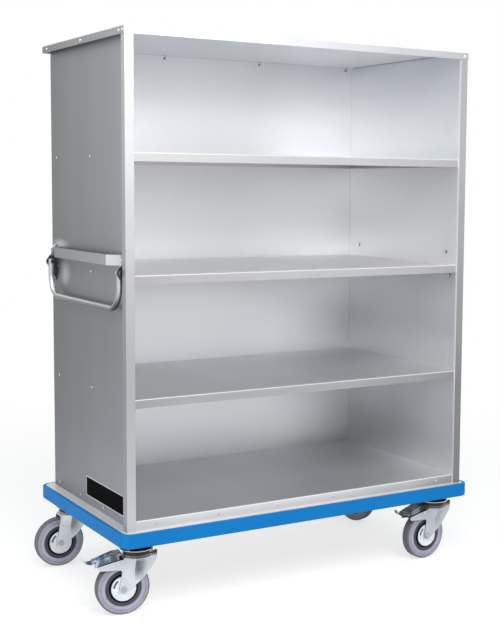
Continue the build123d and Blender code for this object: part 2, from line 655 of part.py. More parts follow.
def through_bolt(stack):
    """Domed bolt with its nut behind a stack of this thickness."""
    with BuildPart() as bolt:
        with BuildSketch():
            Circle(BOLT_HEAD_R)
        extrude(amount=BOLT_HEAD_H)
        fillet(bolt.edges().group_by(Axis.Z)[-1], BOLT_HEAD_H * 0.7)
        with BuildSketch():
            Circle(BOLT_R)
        extrude(amount=-stack - BOLT_NUT_H)
        with BuildSketch(Plane.XY.offset(-stack)):
            RegularPolygon(BOLT_NUT_R, 6)
        extrude(amount=-BOLT_NUT_H)
    return bolt.part


# Bolts of the brackets and guards, through the side panels
with BuildPart() as handle_bolts:
    with Locations(*shelf_bolts):
        add(through_bolt(EAR + 2 * SHEET))
    with Locations(*wall_bolts):
        add(through_bolt(EAR + SHEET))
    with Locations(*guard_bolts):
        add(through_bolt(GUARD_BAR + SHEET))
    mirror(about=mirror_plane)
save(handle_bolts.part, "handle_bolts")

# Caster head: plate, flared housing, ball ring and kingpin with its nut
plate_under = CASTER_HEIGHT - CASTER_PLATE
rim_under = plate_under - HOUSING_DEPTH
race_top = rim_under - BALL_GAP
crown_top = race_top - RACE_HEIGHT
crown_under = crown_top - CROWN
nut_top = crown_under - KINGPIN_NUT_GAP
with BuildPart() as caster_head:
    with BuildSketch(Plane.XY.offset(plate_under)):
        RectangleRounded(CASTER_PLATE_X, CASTER_PLATE_Y, CASTER_PLATE_CORNER)
        with GridLocations(CASTER_BOLT_X, CASTER_BOLT_Y, 2, 2):
            Circle(CASTER_BOLT_R + HOLE_CLEARANCE, mode=Mode.SUBTRACT)
    extrude(amount=CASTER_PLATE)
    with BuildSketch(Plane.XZ):
        with BuildLine():
            Polyline(
                (0, plate_under),
                (HOUSING_TOP_R, plate_under),
                (HOUSING_MID_R, plate_under - HOUSING_SHOULDER),
                (HOUSING_RIM_R, rim_under + HOUSING_RIM),
                (HOUSING_RIM_R, rim_under),
                (BALL_RING_R, rim_under),
                (BALL_RING_R, race_top + RACE_GAP),
                (KINGPIN_R, race_top + RACE_GAP),
                (KINGPIN_R, nut_top),
                (KINGPIN_NUT_R, nut_top),
                (KINGPIN_NUT_R, nut_top - KINGPIN_NUT_H),
                (0, nut_top - KINGPIN_NUT_H),
                close=True,
            )
        make_face()
    revolve(axis=Axis.Z)

# Fork: crown and race over two legs, with arms for the pedal on a braked caster
leg_out = FORK_INNER / 2 + FORK_SHEET
end_rear_x = -TRAIL - LEG_END_R
end_low_x = -TRAIL + LEG_END_R * 0.6
end_low_z = WHEEL_R - LEG_END_R * 0.8
shoulder_z = crown_top - SHOULDER_DROP
arm_shoulder_z = crown_top - ARM_SHOULDER_DROP


def soften(face, corner, radius):
    """Round the outline's corner at this place."""
    fillet(face.vertices().sort_by_distance(corner)[0], radius)


def leg_face(braked):
    """Outline of one leg in the caster's XZ plane."""
    front_edge = [
        (LEG_TOP_BEND, crown_top),
        (LEG_FRONT, crown_top + LEG_FRONT_RISE),
        (LEG_FRONT, LEG_BROW_Z),
        (LEG_KNEE_X, LEG_KNEE_Z),
        (end_low_x, end_low_z),
        (-TRAIL, WHEEL_R),
        (end_rear_x, WHEEL_R),
    ]
    arm_edge = [
        (LEG_REAR, ARM_ROOT_Z),
        (ARM_LOW_X, ARM_LOW_Z),
        (ARM_TIP_X, ARM_TIP_Z),
        (ARM_SHOULDER_X, arm_shoulder_z),
        (0, crown_top),
    ]
    rear_edge = arm_edge if braked else [(CROWN_REAR, crown_top)]
    with BuildSketch(Plane.XZ) as face:
        with BuildLine():
            Polyline(*front_edge, *rear_edge, close=True)
        make_face()
        soften(face, (LEG_FRONT, crown_top + LEG_FRONT_RISE), LEG_FRONT_ROUND)
        soften(face, (LEG_FRONT, LEG_BROW_Z), LEG_BROW_ROUND)
        soften(face, (LEG_KNEE_X, LEG_KNEE_Z), LEG_KNEE_ROUND)
        if braked:
            soften(face, (LEG_REAR, ARM_ROOT_Z), ARM_ROOT_ROUND)
            soften(face, (ARM_LOW_X, ARM_LOW_Z), ARM_TIP_ROUND)
            soften(face, (ARM_TIP_X, ARM_TIP_Z), ARM_TIP_ROUND)
        with Locations((-TRAIL, WHEEL_R)):
            Circle(LEG_END_R)
    return face.sketch


def fork(braked):
    with BuildPart() as piece:
        for side in (-1, 1):
            with BuildSketch(Plane.XZ.offset(side * (leg_out - FORK_SHEET / 2))):
                add(leg_face(braked))
            extrude(amount=FORK_SHEET / 2, both=True)
        with BuildSketch(Plane.XY.offset(shoulder_z)):
            with Locations(((LEG_REAR + SHOULDER_FRONT) / 2 + FORK_SHEET, 0)):
                Rectangle(SHOULDER_FRONT - LEG_REAR - 2 * FORK_SHEET, 2 * leg_out - FORK_SHEET)
        with BuildSketch(Plane.XY.offset(crown_top)):
            Circle(CROWN_R)
        loft()
        slab(CROWN_REAR, 0, -leg_out, leg_out, crown_under, crown_top)
        with BuildSketch(Plane.XZ):
            with BuildLine():
                Polyline(
                    (0, crown_top),
                    (CROWN_R, crown_top),
                    (RACE_R, crown_top + RACE_FLARE),
                    (RACE_R, race_top),
                    (0, race_top),
                    close=True,
                )
            make_face()
        revolve(axis=Axis.Z)
        slab(ARM_TIP_X, LEG_FRONT + CROWN_R, -FORK_INNER / 2, FORK_INNER / 2, 0, crown_under, Mode.SUBTRACT)
        with Locations((0, 0, crown_top)):
            Cylinder(KINGPIN_R + KINGPIN_CLEARANCE, 4 * RACE_HEIGHT, mode=Mode.SUBTRACT)
        punch([spot(-TRAIL, 0, WHEEL_R, (0, 1, 0))], AXLE_R, 4 * leg_out)
        if braked:
            punch([spot(PEDAL_PIN_X, 0, PEDAL_PIN_Z, (0, 1, 0))], PEDAL_PIN_R, 4 * leg_out)
    return piece.part


# Axle bolt through legs, discs and hub
axle_span = 2 * leg_out
with BuildPart() as axle:
    with BuildSketch(Plane.XZ.offset(leg_out)):
        with Locations((-TRAIL, WHEEL_R)):
            RegularPolygon(AXLE_HEAD_R, 6)
    extrude(amount=AXLE_HEAD_H)
    with BuildSketch(Plane.XZ.offset(leg_out)):
        with Locations((-TRAIL, WHEEL_R)):
            Circle(AXLE_R)
    extrude(amount=-axle_span - 2 * AXLE_HEAD_H)
    with BuildSketch(Plane.XZ.offset(-leg_out)):
        with Locations((-TRAIL, WHEEL_R)):
            RegularPolygon(AXLE_HEAD_R, 6)
    extrude(amount=-AXLE_HEAD_H)

wheel_axis = Axis((-TRAIL, 0, WHEEL_R), (0, 1, 0))
wheel_plane = Plane(origin=(-TRAIL, 0, WHEEL_R), x_dir=(1, 0, 0), z_dir=(0, 0, 1))

# Wheel rim: hub, web and rim flange, turned about the axle
with BuildPart() as wheel_rim:
    with BuildSketch(wheel_plane):
        with BuildLine():
            Polyline(
                (AXLE_R + AXLE_CLEARANCE, -HUB_HALF),
                (HUB_R, -HUB_HALF),
                (HUB_R + HUB_FLARE, -RIM_WEB_HALF),
                (RIM_INNER_R, -RIM_WEB_HALF),
                (RIM_INNER_R, -RIM_HALF),
                (RIM_R, -RIM_HALF),
                (RIM_R, RIM_HALF),
                (RIM_INNER_R, RIM_HALF),
                (RIM_INNER_R, RIM_WEB_HALF),
                (HUB_R + HUB_FLARE, RIM_WEB_HALF),
                (HUB_R, HUB_HALF),
                (AXLE_R + AXLE_CLEARANCE, HUB_HALF),
                close=True,
            )
        make_face()
    revolve(axis=wheel_axis)

# Tyre with rounded shoulders and a shallow groove in each side
tread_flat = WHEEL_HALF - TREAD_ROUND
with BuildPart() as tyre:
    with BuildSketch(wheel_plane):
        with BuildLine():
            Polyline(
                (WHEEL_R, tread_flat),
                (WHEEL_R, -tread_flat),
                (WHEEL_R - TREAD_ROUND, -WHEEL_HALF),
                (TREAD_GROOVE_R + TREAD_GROOVE, -WHEEL_HALF),
                (TREAD_GROOVE_R, -WHEEL_HALF + TREAD_GROOVE),
                (TREAD_GROOVE_R - TREAD_GROOVE, -WHEEL_HALF),
                (RIM_R + WHEEL_HALF - RIM_HALF, -WHEEL_HALF),
                (RIM_R, -RIM_HALF),
                (RIM_R, RIM_HALF),
                (RIM_R + WHEEL_HALF - RIM_HALF, WHEEL_HALF),
                (TREAD_GROOVE_R - TREAD_GROOVE, WHEEL_HALF),
                (TREAD_GROOVE_R, WHEEL_HALF - TREAD_GROOVE),
                (TREAD_GROOVE_R + TREAD_GROOVE, WHEEL_HALF),
                (WHEEL_R - TREAD_ROUND, WHEEL_HALF),
                close=True,
            )
        make_face()
    revolve(axis=wheel_axis)

# Thread guards: a disc on each side of the hub, clamped against the legs
disc_in = HUB_HALF + GUARD_GAP
disc_out = FORK_INNER / 2
with BuildPart() as discs:
    with BuildSketch(wheel_plane):
        with BuildLine():
            Polyline(
                (AXLE_R + HOLE_CLEARANCE, disc_in),
                (DISC_R - DISC_EDGE, disc_in),
                (DISC_R - DISC_EDGE, disc_in - DISC_EDGE),
                (DISC_R, disc_in - DISC_EDGE),
                (DISC_R, disc_in),
                (DISC_R - DISC_EDGE, disc_out),
                (AXLE_R + HOLE_CLEARANCE, disc_out),
                close=True,
            )
        make_face()
    revolve(axis=wheel_axis)
    mirror(about=Plane.XZ)

# Brake pedal: channel on a pin between the fork's arms, with an upturned toe
pedal_half = FORK_INNER / 2 - PEDAL_GAP
ear_rear_x = 2 * PEDAL_PIN_X - PEDAL_EAR_FRONT
pedal_line = ((PEDAL_END_X, PEDAL_END_Z), (PEDAL_BEND_X, PEDAL_BEND_Z), (PEDAL_HEAD_X, PEDAL_HEAD_Z))
toe_mid_x = (PEDAL_END_X + PEDAL_TOE_X) / 2 - PEDAL_TOE_DIP
toe_mid_z = (PEDAL_END_Z + PEDAL_TOE_Z) / 2 - PEDAL_TOE_DIP

with BuildPart() as toe:
    with BuildSketch(Plane.XZ.offset(-pedal_half)):
        with BuildLine():
            ThreePointArc(pedal_line[0], (toe_mid_x, toe_mid_z), (PEDAL_TOE_X, PEDAL_TOE_Z))
            Line((PEDAL_TOE_X, PEDAL_TOE_Z), (PEDAL_TOE_X, PEDAL_TOE_Z - PEDAL_SHEET))
            ThreePointArc(
                (PEDAL_TOE_X, PEDAL_TOE_Z - PEDAL_SHEET),
                (toe_mid_x, toe_mid_z - PEDAL_SHEET),
                (PEDAL_END_X, PEDAL_END_Z - PEDAL_SHEET),
            )
            Line((PEDAL_END_X, PEDAL_END_Z - PEDAL_SHEET), pedal_line[0])
        make_face()
    extrude(amount=2 * pedal_half)
    with BuildSketch():
        with BuildLine():
            Polyline(
                (PEDAL_END_X, -pedal_half),
                (PEDAL_END_X, pedal_half),
                (PEDAL_TOE_X, PEDAL_TOE_HALF),
                (PEDAL_TOE_X, -PEDAL_TOE_HALF),
                close=True,
            )
        make_face()
    extrude(amount=crown_top + RACE_HEIGHT, mode=Mode.INTERSECT)

with BuildPart() as pedal:
    with BuildSketch(Plane.XZ.offset(-pedal_half)):
        with BuildLine():
            Polyline(*pedal_line, *[(x, z - PEDAL_SHEET) for x, z in reversed(pedal_line)], close=True)
        make_face()
    extrude(amount=2 * pedal_half)
    bend_edges = pedal.edges().filter_by(Axis.Y).filter_by(
        lambda edge: abs(edge.center().X - PEDAL_BEND_X) < PEDAL_SHEET)
    fillet(bend_edges, PEDAL_BEND_ROUND)
    add(toe.part)
    for side in (-1, 1):
        with BuildSketch(Plane.XZ.offset(side * (pedal_half - PEDAL_SHEET / 2))):
            with BuildLine():
                Polyline(
                    (PEDAL_END_X, PEDAL_END_Z - PEDAL_SHEET / 2),
                    (PEDAL_BEND_X, PEDAL_BEND_Z - PEDAL_SHEET),
                    (PEDAL_EAR_FRONT, PEDAL_BEND_Z - PEDAL_SHEET / 2),
                    (PEDAL_EAR_FRONT, PEDAL_PIN_Z),
                    (ear_rear_x, PEDAL_PIN_Z),
                    (PEDAL_END_X, PEDAL_END_Z - PEDAL_EAR_DROP),
                    close=True,
                )
            make_face()
            with Locations((PEDAL_PIN_X, PEDAL_PIN_Z)):
                Circle(PEDAL_EAR_R)
        extrude(amount=PEDAL_SHEET / 2, both=True)
    with Locations(spot(PEDAL_PIN_X, 0, PEDAL_PIN_Z, (0, 1, 0))):
        Cylinder(PEDAL_PIN_R + PIVOT_CLEARANCE, 4 * pedal_half, mode=Mode.SUBTRACT)

# Pedal pin with a head on each side
with BuildPart() as pedal_pin:
    with Locations(spot(PEDAL_PIN_X, 0, PEDAL_PIN_Z, (0, 1, 0))):
        Cylinder(PEDAL_PIN_R, 2 * leg_out)
    for side in (-1, 1):
        with BuildSketch(Plane.XZ.offset(side * leg_out)):
            with Locations((PEDAL_PIN_X, PEDAL_PIN_Z)):
                Circle(PEDAL_PIN_HEAD_R)
        extrude(amount=side * PEDAL_PIN_HEAD_H)

# The four casters, each turned to its resting swivel angle
forks = {braked: fork(braked) for braked in (True, False)}
for corner, (x, y, angle, braked) in caster_spots.items():
    turned = {
        "fork": forks[braked],
        "axle": axle.part,
        "wheel_rim": wheel_rim.part,
        "tyre": tyre.part,
        "thread_guards": discs.part,
    }
    if braked:
        turned["brake_pedal"] = pedal.part
        turned["pedal_pin"] = pedal_pin.part
    with BuildPart() as head:
        with Locations((x, y, 0)):
            add(caster_head.part)
    save(head.part, corner + "_caster_head")
    for piece_name, source in turned.items():
        with BuildPart() as placed:
            with Locations(Location((x, y, 0), (0, 0, angle))):
                add(source)
        save(placed.part, corner + "_" + piece_name)
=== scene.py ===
import json
from math import cos, radians, sin

import bmesh
import bpy
from mathutils import Matrix, Vector


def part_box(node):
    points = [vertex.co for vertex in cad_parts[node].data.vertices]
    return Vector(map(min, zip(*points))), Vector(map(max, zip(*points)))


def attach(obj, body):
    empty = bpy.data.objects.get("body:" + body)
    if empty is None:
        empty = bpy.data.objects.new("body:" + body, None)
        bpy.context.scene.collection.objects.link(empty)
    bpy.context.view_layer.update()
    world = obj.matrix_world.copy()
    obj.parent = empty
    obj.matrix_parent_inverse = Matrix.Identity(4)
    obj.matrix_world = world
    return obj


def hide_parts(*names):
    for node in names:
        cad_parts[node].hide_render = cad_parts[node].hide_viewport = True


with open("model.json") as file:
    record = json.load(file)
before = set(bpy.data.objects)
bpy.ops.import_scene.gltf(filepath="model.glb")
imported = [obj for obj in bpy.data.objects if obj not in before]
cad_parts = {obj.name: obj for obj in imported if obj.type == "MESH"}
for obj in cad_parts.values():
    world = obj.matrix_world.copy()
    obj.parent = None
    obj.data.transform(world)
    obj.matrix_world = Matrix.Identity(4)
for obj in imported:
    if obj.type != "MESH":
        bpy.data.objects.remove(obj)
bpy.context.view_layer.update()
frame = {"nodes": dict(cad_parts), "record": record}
nodes = frame["nodes"]
record_joints = {joint["name"]: joint for joint in frame["record"]["behaviour"]["joints"]}

# Lengths are in metres and angles in radians, unless a comment says otherwise.

# Directions in the model
RIGHTWARD = (1, 0, 0)
REARWARD = (0, 1, 0)
UPWARD = (0, 0, 1)
LEFTWARD = (-1, 0, 0)
FORWARD = (0, -1, 0)
DOWNWARD = (0, 0, -1)

# Places read from the model; the cabinet is centred, so its back mirrors its front
LEFT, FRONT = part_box("left_front_post")[0][:2]
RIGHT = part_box("right_front_post")[1][0]
BACK = -FRONT
INNER_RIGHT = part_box("back_panel")[1][0]
COVER_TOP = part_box("top_cover")[1][2]
GUARD_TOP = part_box("left_handle_guard")[1][2]
BAIL_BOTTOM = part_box("left_handle_bail")[0][2]

# Camera, recovered from the photograph's straight edges, in the model's own frame
IMAGE_HEIGHT = 627.0      # pixels, as the next three are
FOCAL = 1208.4
AXIS_RIGHT = 66.0         # the optical axis meets the picture this far right of its middle
AXIS_UP = 13.4            # and this far above it
SENSOR = 36.0             # millimetres
CLIP_START = 0.05
CAMERA_PLACE = Vector((-2.0220, -3.6991, 1.3476))
CAMERA_YAW = 0.55760
CAMERA_PITCH = 0.09528
CAMERA_ROLL = 0.00894

# Light
WORLD_COLOR = (0.95, 0.98, 1.0)
WORLD_STRENGTH = 0.50
WHITE = (1, 1, 1)
LAMPS = {
    "key": {
        "place": (-0.6, -3.0, 3.1), "target": (0.1, 0, 1.0), "size": (2.6, 1.8), "watts": 95,
    },
    "left_high": {
        "place": (-2.6, -0.5, 3.6), "target": (-0.65, 0.0, 1.0), "size": (0.7, 0.7), "watts": 22,
    },
}

# Floor
FLOOR_SIZE = 40.0
FLOOR_FADE = (1.2, 3.4)   # it turns into the white background between these distances
FLOOR_BOUNCE = 0.84       # its grey for the light that it throws back
FLOOR_GREY = 0.52         # its grey for the camera, before the lift
FLOOR_LIFT = 0.64

# Mottling and grain, common to every material
MOTTLE_DETAIL = 2.0
MOTTLE_RANGE = (0.3, 0.7)
GRAIN_DETAIL = 4.0
GRAIN_RANGE = (0.25, 0.75)
GRAIN_ROUGHNESS = 0.05    # how far the grain moves the roughness either way
BRUSH_SCALE = 900
BRUSH_DEPTH = 0.00002
EVEN = (1, 1, 1)
FINE_ACROSS = (6, 1, 1)   # brushed grain that is finest along one direction
FINE_DEEP = (1, 6, 1)
FINE_UP = (1, 1, 6)

# How far a surface faces a direction, where its tone starts to change and where it has changed
FACE_TURN = (0.6, 0.8)
SHEET_TURN = (-0.2, 0.2)
POST_SIDE_TURN = (0.5, 0.8)
GUARD_SLANT_TURN = (0.2, 0.5)
BOLT_FACE_TURN = (0.6, 0.95)
LEG_FACE_TURN = (0.25, 0.6)
ARM_TOP_TURN = (0.3, 0.7)

# Inside of the sheets, painted light and shade: levels are (height, level), and softer painted
# areas are (height, half width, half height, level), where a level above 1 makes the sheet paler
INNER_COLOR = (0.80, 0.812, 0.835)
INNER_METALLIC = 0.85
BACK_WALL_LEVELS = [
    (0.28, 0.86), (0.50, 0.98), (0.68, 0.90), (0.70, 1.12), (0.85, 1.06), (1.06, 0.84),
    (1.08, 1.06), (1.20, 0.98), (1.43, 0.92), (1.45, 1.02), (1.60, 1.14), (1.80, 1.02),
]
BACK_WALL_AREAS = [       # beside the right side sheet
    (0.30, 0.36, 0.26, 0.72), (0.76, 0.36, 0.18, 0.74),
    (1.00, 0.50, 0.16, 1.38), (1.36, 0.60, 0.18, 1.34), (1.72, 0.46, 0.16, 1.28),
]
BACK_WALL_FADE = {"low": -0.1, "high": 0.55, "to_low": 1.0, "to_high": 0.93}
CORNER_LINE = (0.0045, 0.0030)      # darker line up the back sheet, this far from its right edge
CORNER_LEVEL = 0.92
SIDE_WALL_LEVELS = [
    (0.28, 1.25), (0.45, 0.92), (0.68, 0.90), (0.70, 1.20), (0.85, 0.98), (1.06, 0.98), (1.08, 1.40),
    (1.20, 1.32), (1.43, 1.30), (1.45, 1.18), (1.60, 1.55), (1.70, 1.20), (1.80, 1.06),
]
SIDE_WALL_BACK_AREAS = [(0.40, 0.60, 0.30, 0.74), (0.88, 0.50, 0.24, 0.84)]
SIDE_WALL_FRONT_AREAS = [(0.55, 0.40, 0.40, 1.40), (0.95, 0.30, 0.16, 1.16)]

# Outside of the sheets, painted light and shade: levels are (place, level)
PANEL_COLOR = (0.305, 0.332, 0.336)
PANEL_LOW_COLOR = (0.318, 0.332, 0.366)
PANEL_METALLIC = 0.45
PANEL_COLOR_RISE = (0.25, 0.95)     # between the two colours, by height and by depth
PANEL_COLOR_DEPTH = (FRONT, 0.1)
PANEL_DEPTH_LEVELS = [(FRONT, 1.02), (-0.1, 0.84), (0.1, 0.72), (BACK, 0.57)]
PANEL_RISE_LEVELS = [
    (0.28, 1.12), (0.42, 0.98), (0.58, 0.84), (0.85, 0.78), (1.1, 0.90), (1.35, 1.0),
    (COVER_TOP, 1.06),
]
# Painted reflection of the bail below the guard, and a painted highlight above it
PANEL_PAINTED_HIGHLIGHTS = [           # below and above the guard: depth, half depth, height, half height, level
    (0.235, 0.075, 1.045, 0.060, 2.9),
    (0.270, 0.100, 1.138, 0.024, 2.9),
]
BACK_OUTSIDE_LEVELS = [(0.28, 1.25), (1.0, 1.15), (COVER_TOP, 1.3)]

# Shelves and floor tray, painted light and shade: tones of the tread and lip, and levels of the lip
# and the tread at equal steps from left to right
SHELF_TONES = {
    "upper_shelf": {
        "tread": (0.90, 0.91, 0.94), "lip": (0.61, 0.605, 0.62),
        "lip_levels": (1.04, 1.06, 1.03, 1.0, 0.90, 0.82),
        "tread_levels": (1.0, 1.0, 1.0, 1.0, 1.0, 1.0),
    },
    "middle_shelf": {
        "tread": (0.94, 0.945, 0.97), "lip": (0.50, 0.50, 0.515),
        "lip_levels": (0.90, 1.0, 1.08, 1.09, 1.02, 0.88),
        "tread_levels": (1.0, 1.03, 1.10, 1.18, 1.18, 1.10),
    },
    "lower_shelf": {
        "tread": (0.66, 0.675, 0.69), "lip": (0.415, 0.415, 0.43),
        "lip_levels": (0.88, 1.02, 1.04, 1.01, 0.88, 0.76),
        "tread_levels": (1.0, 1.06, 1.20, 1.30, 1.40, 1.30),
    },
    "floor_tray": {
        "tread": (0.63, 0.65, 0.675), "lip": (0.62, 0.61, 0.61),
        "lip_levels": (1.0, 1.15, 1.16, 1.05, 0.88, 0.58),
        "tread_levels": (1.08, 1.14, 1.24, 1.34, 1.62, 1.80),
    },
}
LIP_DROP = (0.0012, 0.0004)         # the tread turns into the lip this far below its top
# Painted highlight along the bend between the tread and the lip
BEND_HIGHLIGHT_COLOR = (0.95, 0.95, 0.95)
BEND_HIGHLIGHT_SHARE = 0.6
BEND_DROP = 0.0035
BEND_RISE = 0.001
BEND_PLACE = (-0.0105, -0.0085)     # from the posts' front face, negative behind it
BEND_SOFT = 0.0006

# Posts and cover, painted light and shade: levels are (place, level)
PALE_COLOR = (0.80, 0.81, 0.84)
POST_SIDE_CAP = 1.2       # the highest level on a post's sides
POST_TONES = {
    "left": {
        "stops": [
            (0.28, 0.70), (0.5, 0.58), (0.75, 0.52), (1.0, 0.60), (1.2, 0.74), (1.5, 0.90),
            (COVER_TOP, 1.00),
        ],
        "side_level": 0.62,
    },
    "right": {
        "stops": [
            (0.28, 0.26), (0.6, 0.28), (0.9, 0.38), (1.2, 0.47), (1.5, 0.55), (COVER_TOP, 0.52),
        ],
        "side_level": 4.2,
    },
}
# Painted reflection along the front rim, and painted shade along the left rim
COVER_FRONT_LEVELS = [
    (LEFT, 1.03), (-0.15, 1.08), (0.0, 0.95), (0.2, 0.86), (0.45, 0.72), (RIGHT, 0.66),
]
COVER_LEFT_LEVELS = [(FRONT - 0.01, 0.46), (0.0, 0.36), (BACK, 0.24)]
# Painted shade on the top, which faces up
COVER_TOP_LEVEL = 0.82
COVER_JOINT = (0.0125, 0.0105)      # dark line under the cover, this far from the side sheet
COVER_JOINT_SHADE = 0.85
# Painted shade under the cover, fading out from its left end
COVER_LEFT_FADE = {"low": LEFT, "high": 0.1, "to_low": 0.10, "to_high": 0.0}

# Handles
# Painted shade along the guard's face, and a painted highlight on its slanted end
GUARD_LEVELS = [(-0.25, 0.84), (0.25, 0.58)]    # (depth, level)
GUARD_SLANT_HIGHLIGHT = 0.95
# Painted highlight and shade on the bail, by how far the surface faces up
BAIL_LEVELS = [           # by how far the surface faces up
    (-1, 0.06), (-0.5, 0.16), (-0.1, 0.42), (0.25, 0.60), (0.5, 1.15), (1, 1.35),
]
GRIP_TOP = BAIL_BOTTOM + 0.018
LEG_START = GRIP_TOP + 0.030
# Painted light: the grip darker and the legs brighter
GRIP_LEVEL = 0.66
LEG_LEVEL = 1.30
# Painted light on the handle brackets from beside the guard upward
BRACKET_LIGHT_START = GUARD_TOP - 0.036
BRACKET_LIGHT_END = GUARD_TOP - 0.026
BRACKET_LIGHT_LEVEL = 6.0
# Painted shade on the rims of bolt and rivet heads
BOLT_RIM_SHADE = 0.10

# Name plate: how much further than the solid it reaches each way, and its details
PLATE_TALLER = 0.0055
PLATE_LONGER = 0.007
PLATE_CORNER = 0.003
PLATE_EASE = 0.0004
PLATE_EASE_STEPS = 2
CORNER_STEPS = 4
PLATE_BORDER = 0.0036
PLATE_BORDER_SOFT = 0.0003
PLATE_BORDER_COLOR = (0.72, 0.72, 0.73)
PLATE_COLOR = (0.003, 0.003, 0.004)

# Casters: the wheel's radii, and heights above the ground
WHEEL_R = 0.085
DISC_R = 0.040
RIM_INNER_R = 0.0465
TYRE_INNER_R = 0.057
CROWN_TOP = 0.184
NECK_BOTTOM = CROWN_TOP + 0.0004
RACE_BOTTOM = CROWN_TOP + 0.0065
RACE_TOP = 0.2030
HEAD_RIM_UNDER = 0.206
HEAD_RIM_BAND = (HEAD_RIM_UNDER + 0.0002, HEAD_RIM_UNDER + 0.0024)

# Tones of each caster, by how the light of the photograph falls on it
CASTER_TONES = {
    "front_left": {"fork": 0.74, "hollow": 0.24, "tyre": 1.0, "disc": 0.90, "pedal": 1.0},
    "front_right": {"fork": 0.60, "hollow": 0.75, "tyre": 1.0, "disc": 0.90, "pedal": 0.42},
    "rear_left": {"fork": 0.90, "hollow": 0.35, "tyre": 1.18, "disc": 0.98},
    "rear_right": {"fork": 0.60, "hollow": 0.40, "tyre": 0.85, "disc": 0.90},
}
ZINC_TINT = (0.95, 1.0, 1.07)
HEAD_LEVEL = 0.80
HEAD_SHADE = 0.05

# Fork: places ahead of the swivel's axis, heights, and places off the axis
LEG_FOLD = (-0.0125, -0.0105)
HOLLOW_FADE = (0.000, 0.034)
HOLLOW_FOOT = (0.100, 0.150)
HOLLOW_HEAD = (0.172, CROWN_TOP)
HOLLOW_HEAD_SHARE = 0.45
HOLLOW_STREAKS = (0.80, 1.15)
NECK_EDGE = (0.040, 0.046)
LEG_INSIDE = 0.0232
CROWN_UNDERSIDE = (CROWN_TOP - 0.0070, CROWN_TOP - 0.0058)
ARM_END = (-0.052, -0.048)

# Thread guard: the slit's ring round the hub, its middle and its ends, and the crease, drawn in
# painted shade
SLIT_RING = (0.0285, 0.0345)
SLIT_BACK = 0.85
SLIT_UP = 0.53
SLIT_ENDS = (0.90, 0.93)            # cosines of the angle from its middle
CREASE_PLACE = (0.0150, 0.0164)     # behind the hub
CREASE_RISE = (-0.016, 0.020)
DISC_EDGE = (DISC_R - 0.0012, DISC_R - 0.0004)
DISC_EDGE_LEVEL = 0.85

# Rim and tyre: bands are distances from the hub's axis
RIM_EDGE = (RIM_INNER_R - 0.0010, RIM_INNER_R + 0.0004)
TYRE_LINE = (TYRE_INNER_R - 0.001, TYRE_INNER_R + 0.0015)
TYRE_RING = (TYRE_INNER_R + 0.0015, 0.0680)
TREAD_EDGE = (WHEEL_R - 0.0058, WHEEL_R - 0.0030)
RIM_DARK = (0.006, 0.006, 0.007)
RIM_COLOR = (0.075, 0.080, 0.095)
TREAD_COLOR = (0.170, 0.170, 0.200)
TYRE_COLOR = (0.385, 0.378, 0.465)
TYRE_RING_COLOR = (0.460, 0.455, 0.540)
TYRE_LINE_COLOR = (0.20, 0.20, 0.25)

# Brake pedal: its raised frame, measured behind the swivel's axis and to either side
PEDAL_COLOR = (0.40, 0.46, 0.55)
PEDAL_FRAME_START = 0.098
PEDAL_FRAME_END = 0.134
PEDAL_FRAME_HALF = 0.017
PEDAL_FRAME_WIDTH = 0.003
PEDAL_FRAME_SOFT = 0.0006
PEDAL_ROOT = (0.066, 0.092)
PEDAL_ROOT_LEVEL = 0.55
BLOTCH_RANGE = (0.38, 0.62)
BLOTCH_LEVELS = (0.30, 1.25)
BLOTCH_DEPTH = 0.0006


# Shader helpers

def link(tree, source, target):
    tree.links.new(source, target)


def add_node(tree, kind, **values):
    made = tree.nodes.new(kind)
    for name, value in values.items():
        setattr(made, name, value)
    return made


def is_socket(value):
    return isinstance(value, bpy.types.NodeSocket)


def feed(tree, socket, value):
    """Sets a socket to a constant, or links an output to it."""
    if is_socket(value):
        link(tree, value, socket)
    else:
        socket.default_value = value


def maths(tree, operation, a, b=0.0, clamp=False):
    made = add_node(tree, "ShaderNodeMath", operation=operation, use_clamp=clamp)
    feed(tree, made.inputs[0], a)
    feed(tree, made.inputs[1], b)
    return made.outputs[0]


def product(tree, *values):
    """Multiplies values from left to right."""
    result = values[0]
    for value in values[1:]:
        result = maths(tree, "MULTIPLY", result, value)
    return result


def vector_maths(tree, operation, vector, other=None):
    """A vector node; the other vector is a constant."""
    made = add_node(tree, "ShaderNodeVectorMath", operation=operation)
    link(tree, vector, made.inputs[0])
    if other is not None:
        made.inputs[1].default_value = tuple(other)
    return made


def offset_from(tree, origin):
    """The shaded point, in the model's frame, as seen from an origin."""
    place = add_node(tree, "ShaderNodeTexCoord").outputs["Object"]
    return vector_maths(tree, "SUBTRACT", place, origin).outputs[0]


def along(tree, direction, origin=(0, 0, 0)):
    """Distance of the shaded point from the origin, measured along a direction."""
    return vector_maths(tree, "DOT_PRODUCT", offset_from(tree, origin), direction).outputs["Value"]


def off_axis(tree, centre, axis):
    """Distance of the shaded point from an axis."""
    cross = vector_maths(tree, "CROSS_PRODUCT", offset_from(tree, centre), axis).outputs[0]
    return vector_maths(tree, "LENGTH", cross).outputs["Value"]


def facing(tree, direction):
    """How far the surface faces a direction: 1 straight at it, -1 away from it."""
    normal = add_node(tree, "ShaderNodeTexCoord").outputs["Normal"]
    return vector_maths(tree, "DOT_PRODUCT", normal, direction).outputs["Value"]


def spread(tree, value, low, high, to_low=0.0, to_high=1.0, smooth=True):
    """Carries a value from one range over to another and holds it at the ends."""
    kind = "SMOOTHSTEP" if smooth else "LINEAR"
    made = add_node(tree, "ShaderNodeMapRange", interpolation_type=kind)
    feed(tree, made.inputs["Value"], value)
    made.inputs["From Min"].default_value = low
    made.inputs["From Max"].default_value = high
    made.inputs["To Min"].default_value = to_low
    made.inputs["To Max"].default_value = to_high
    return made.outputs["Result"]


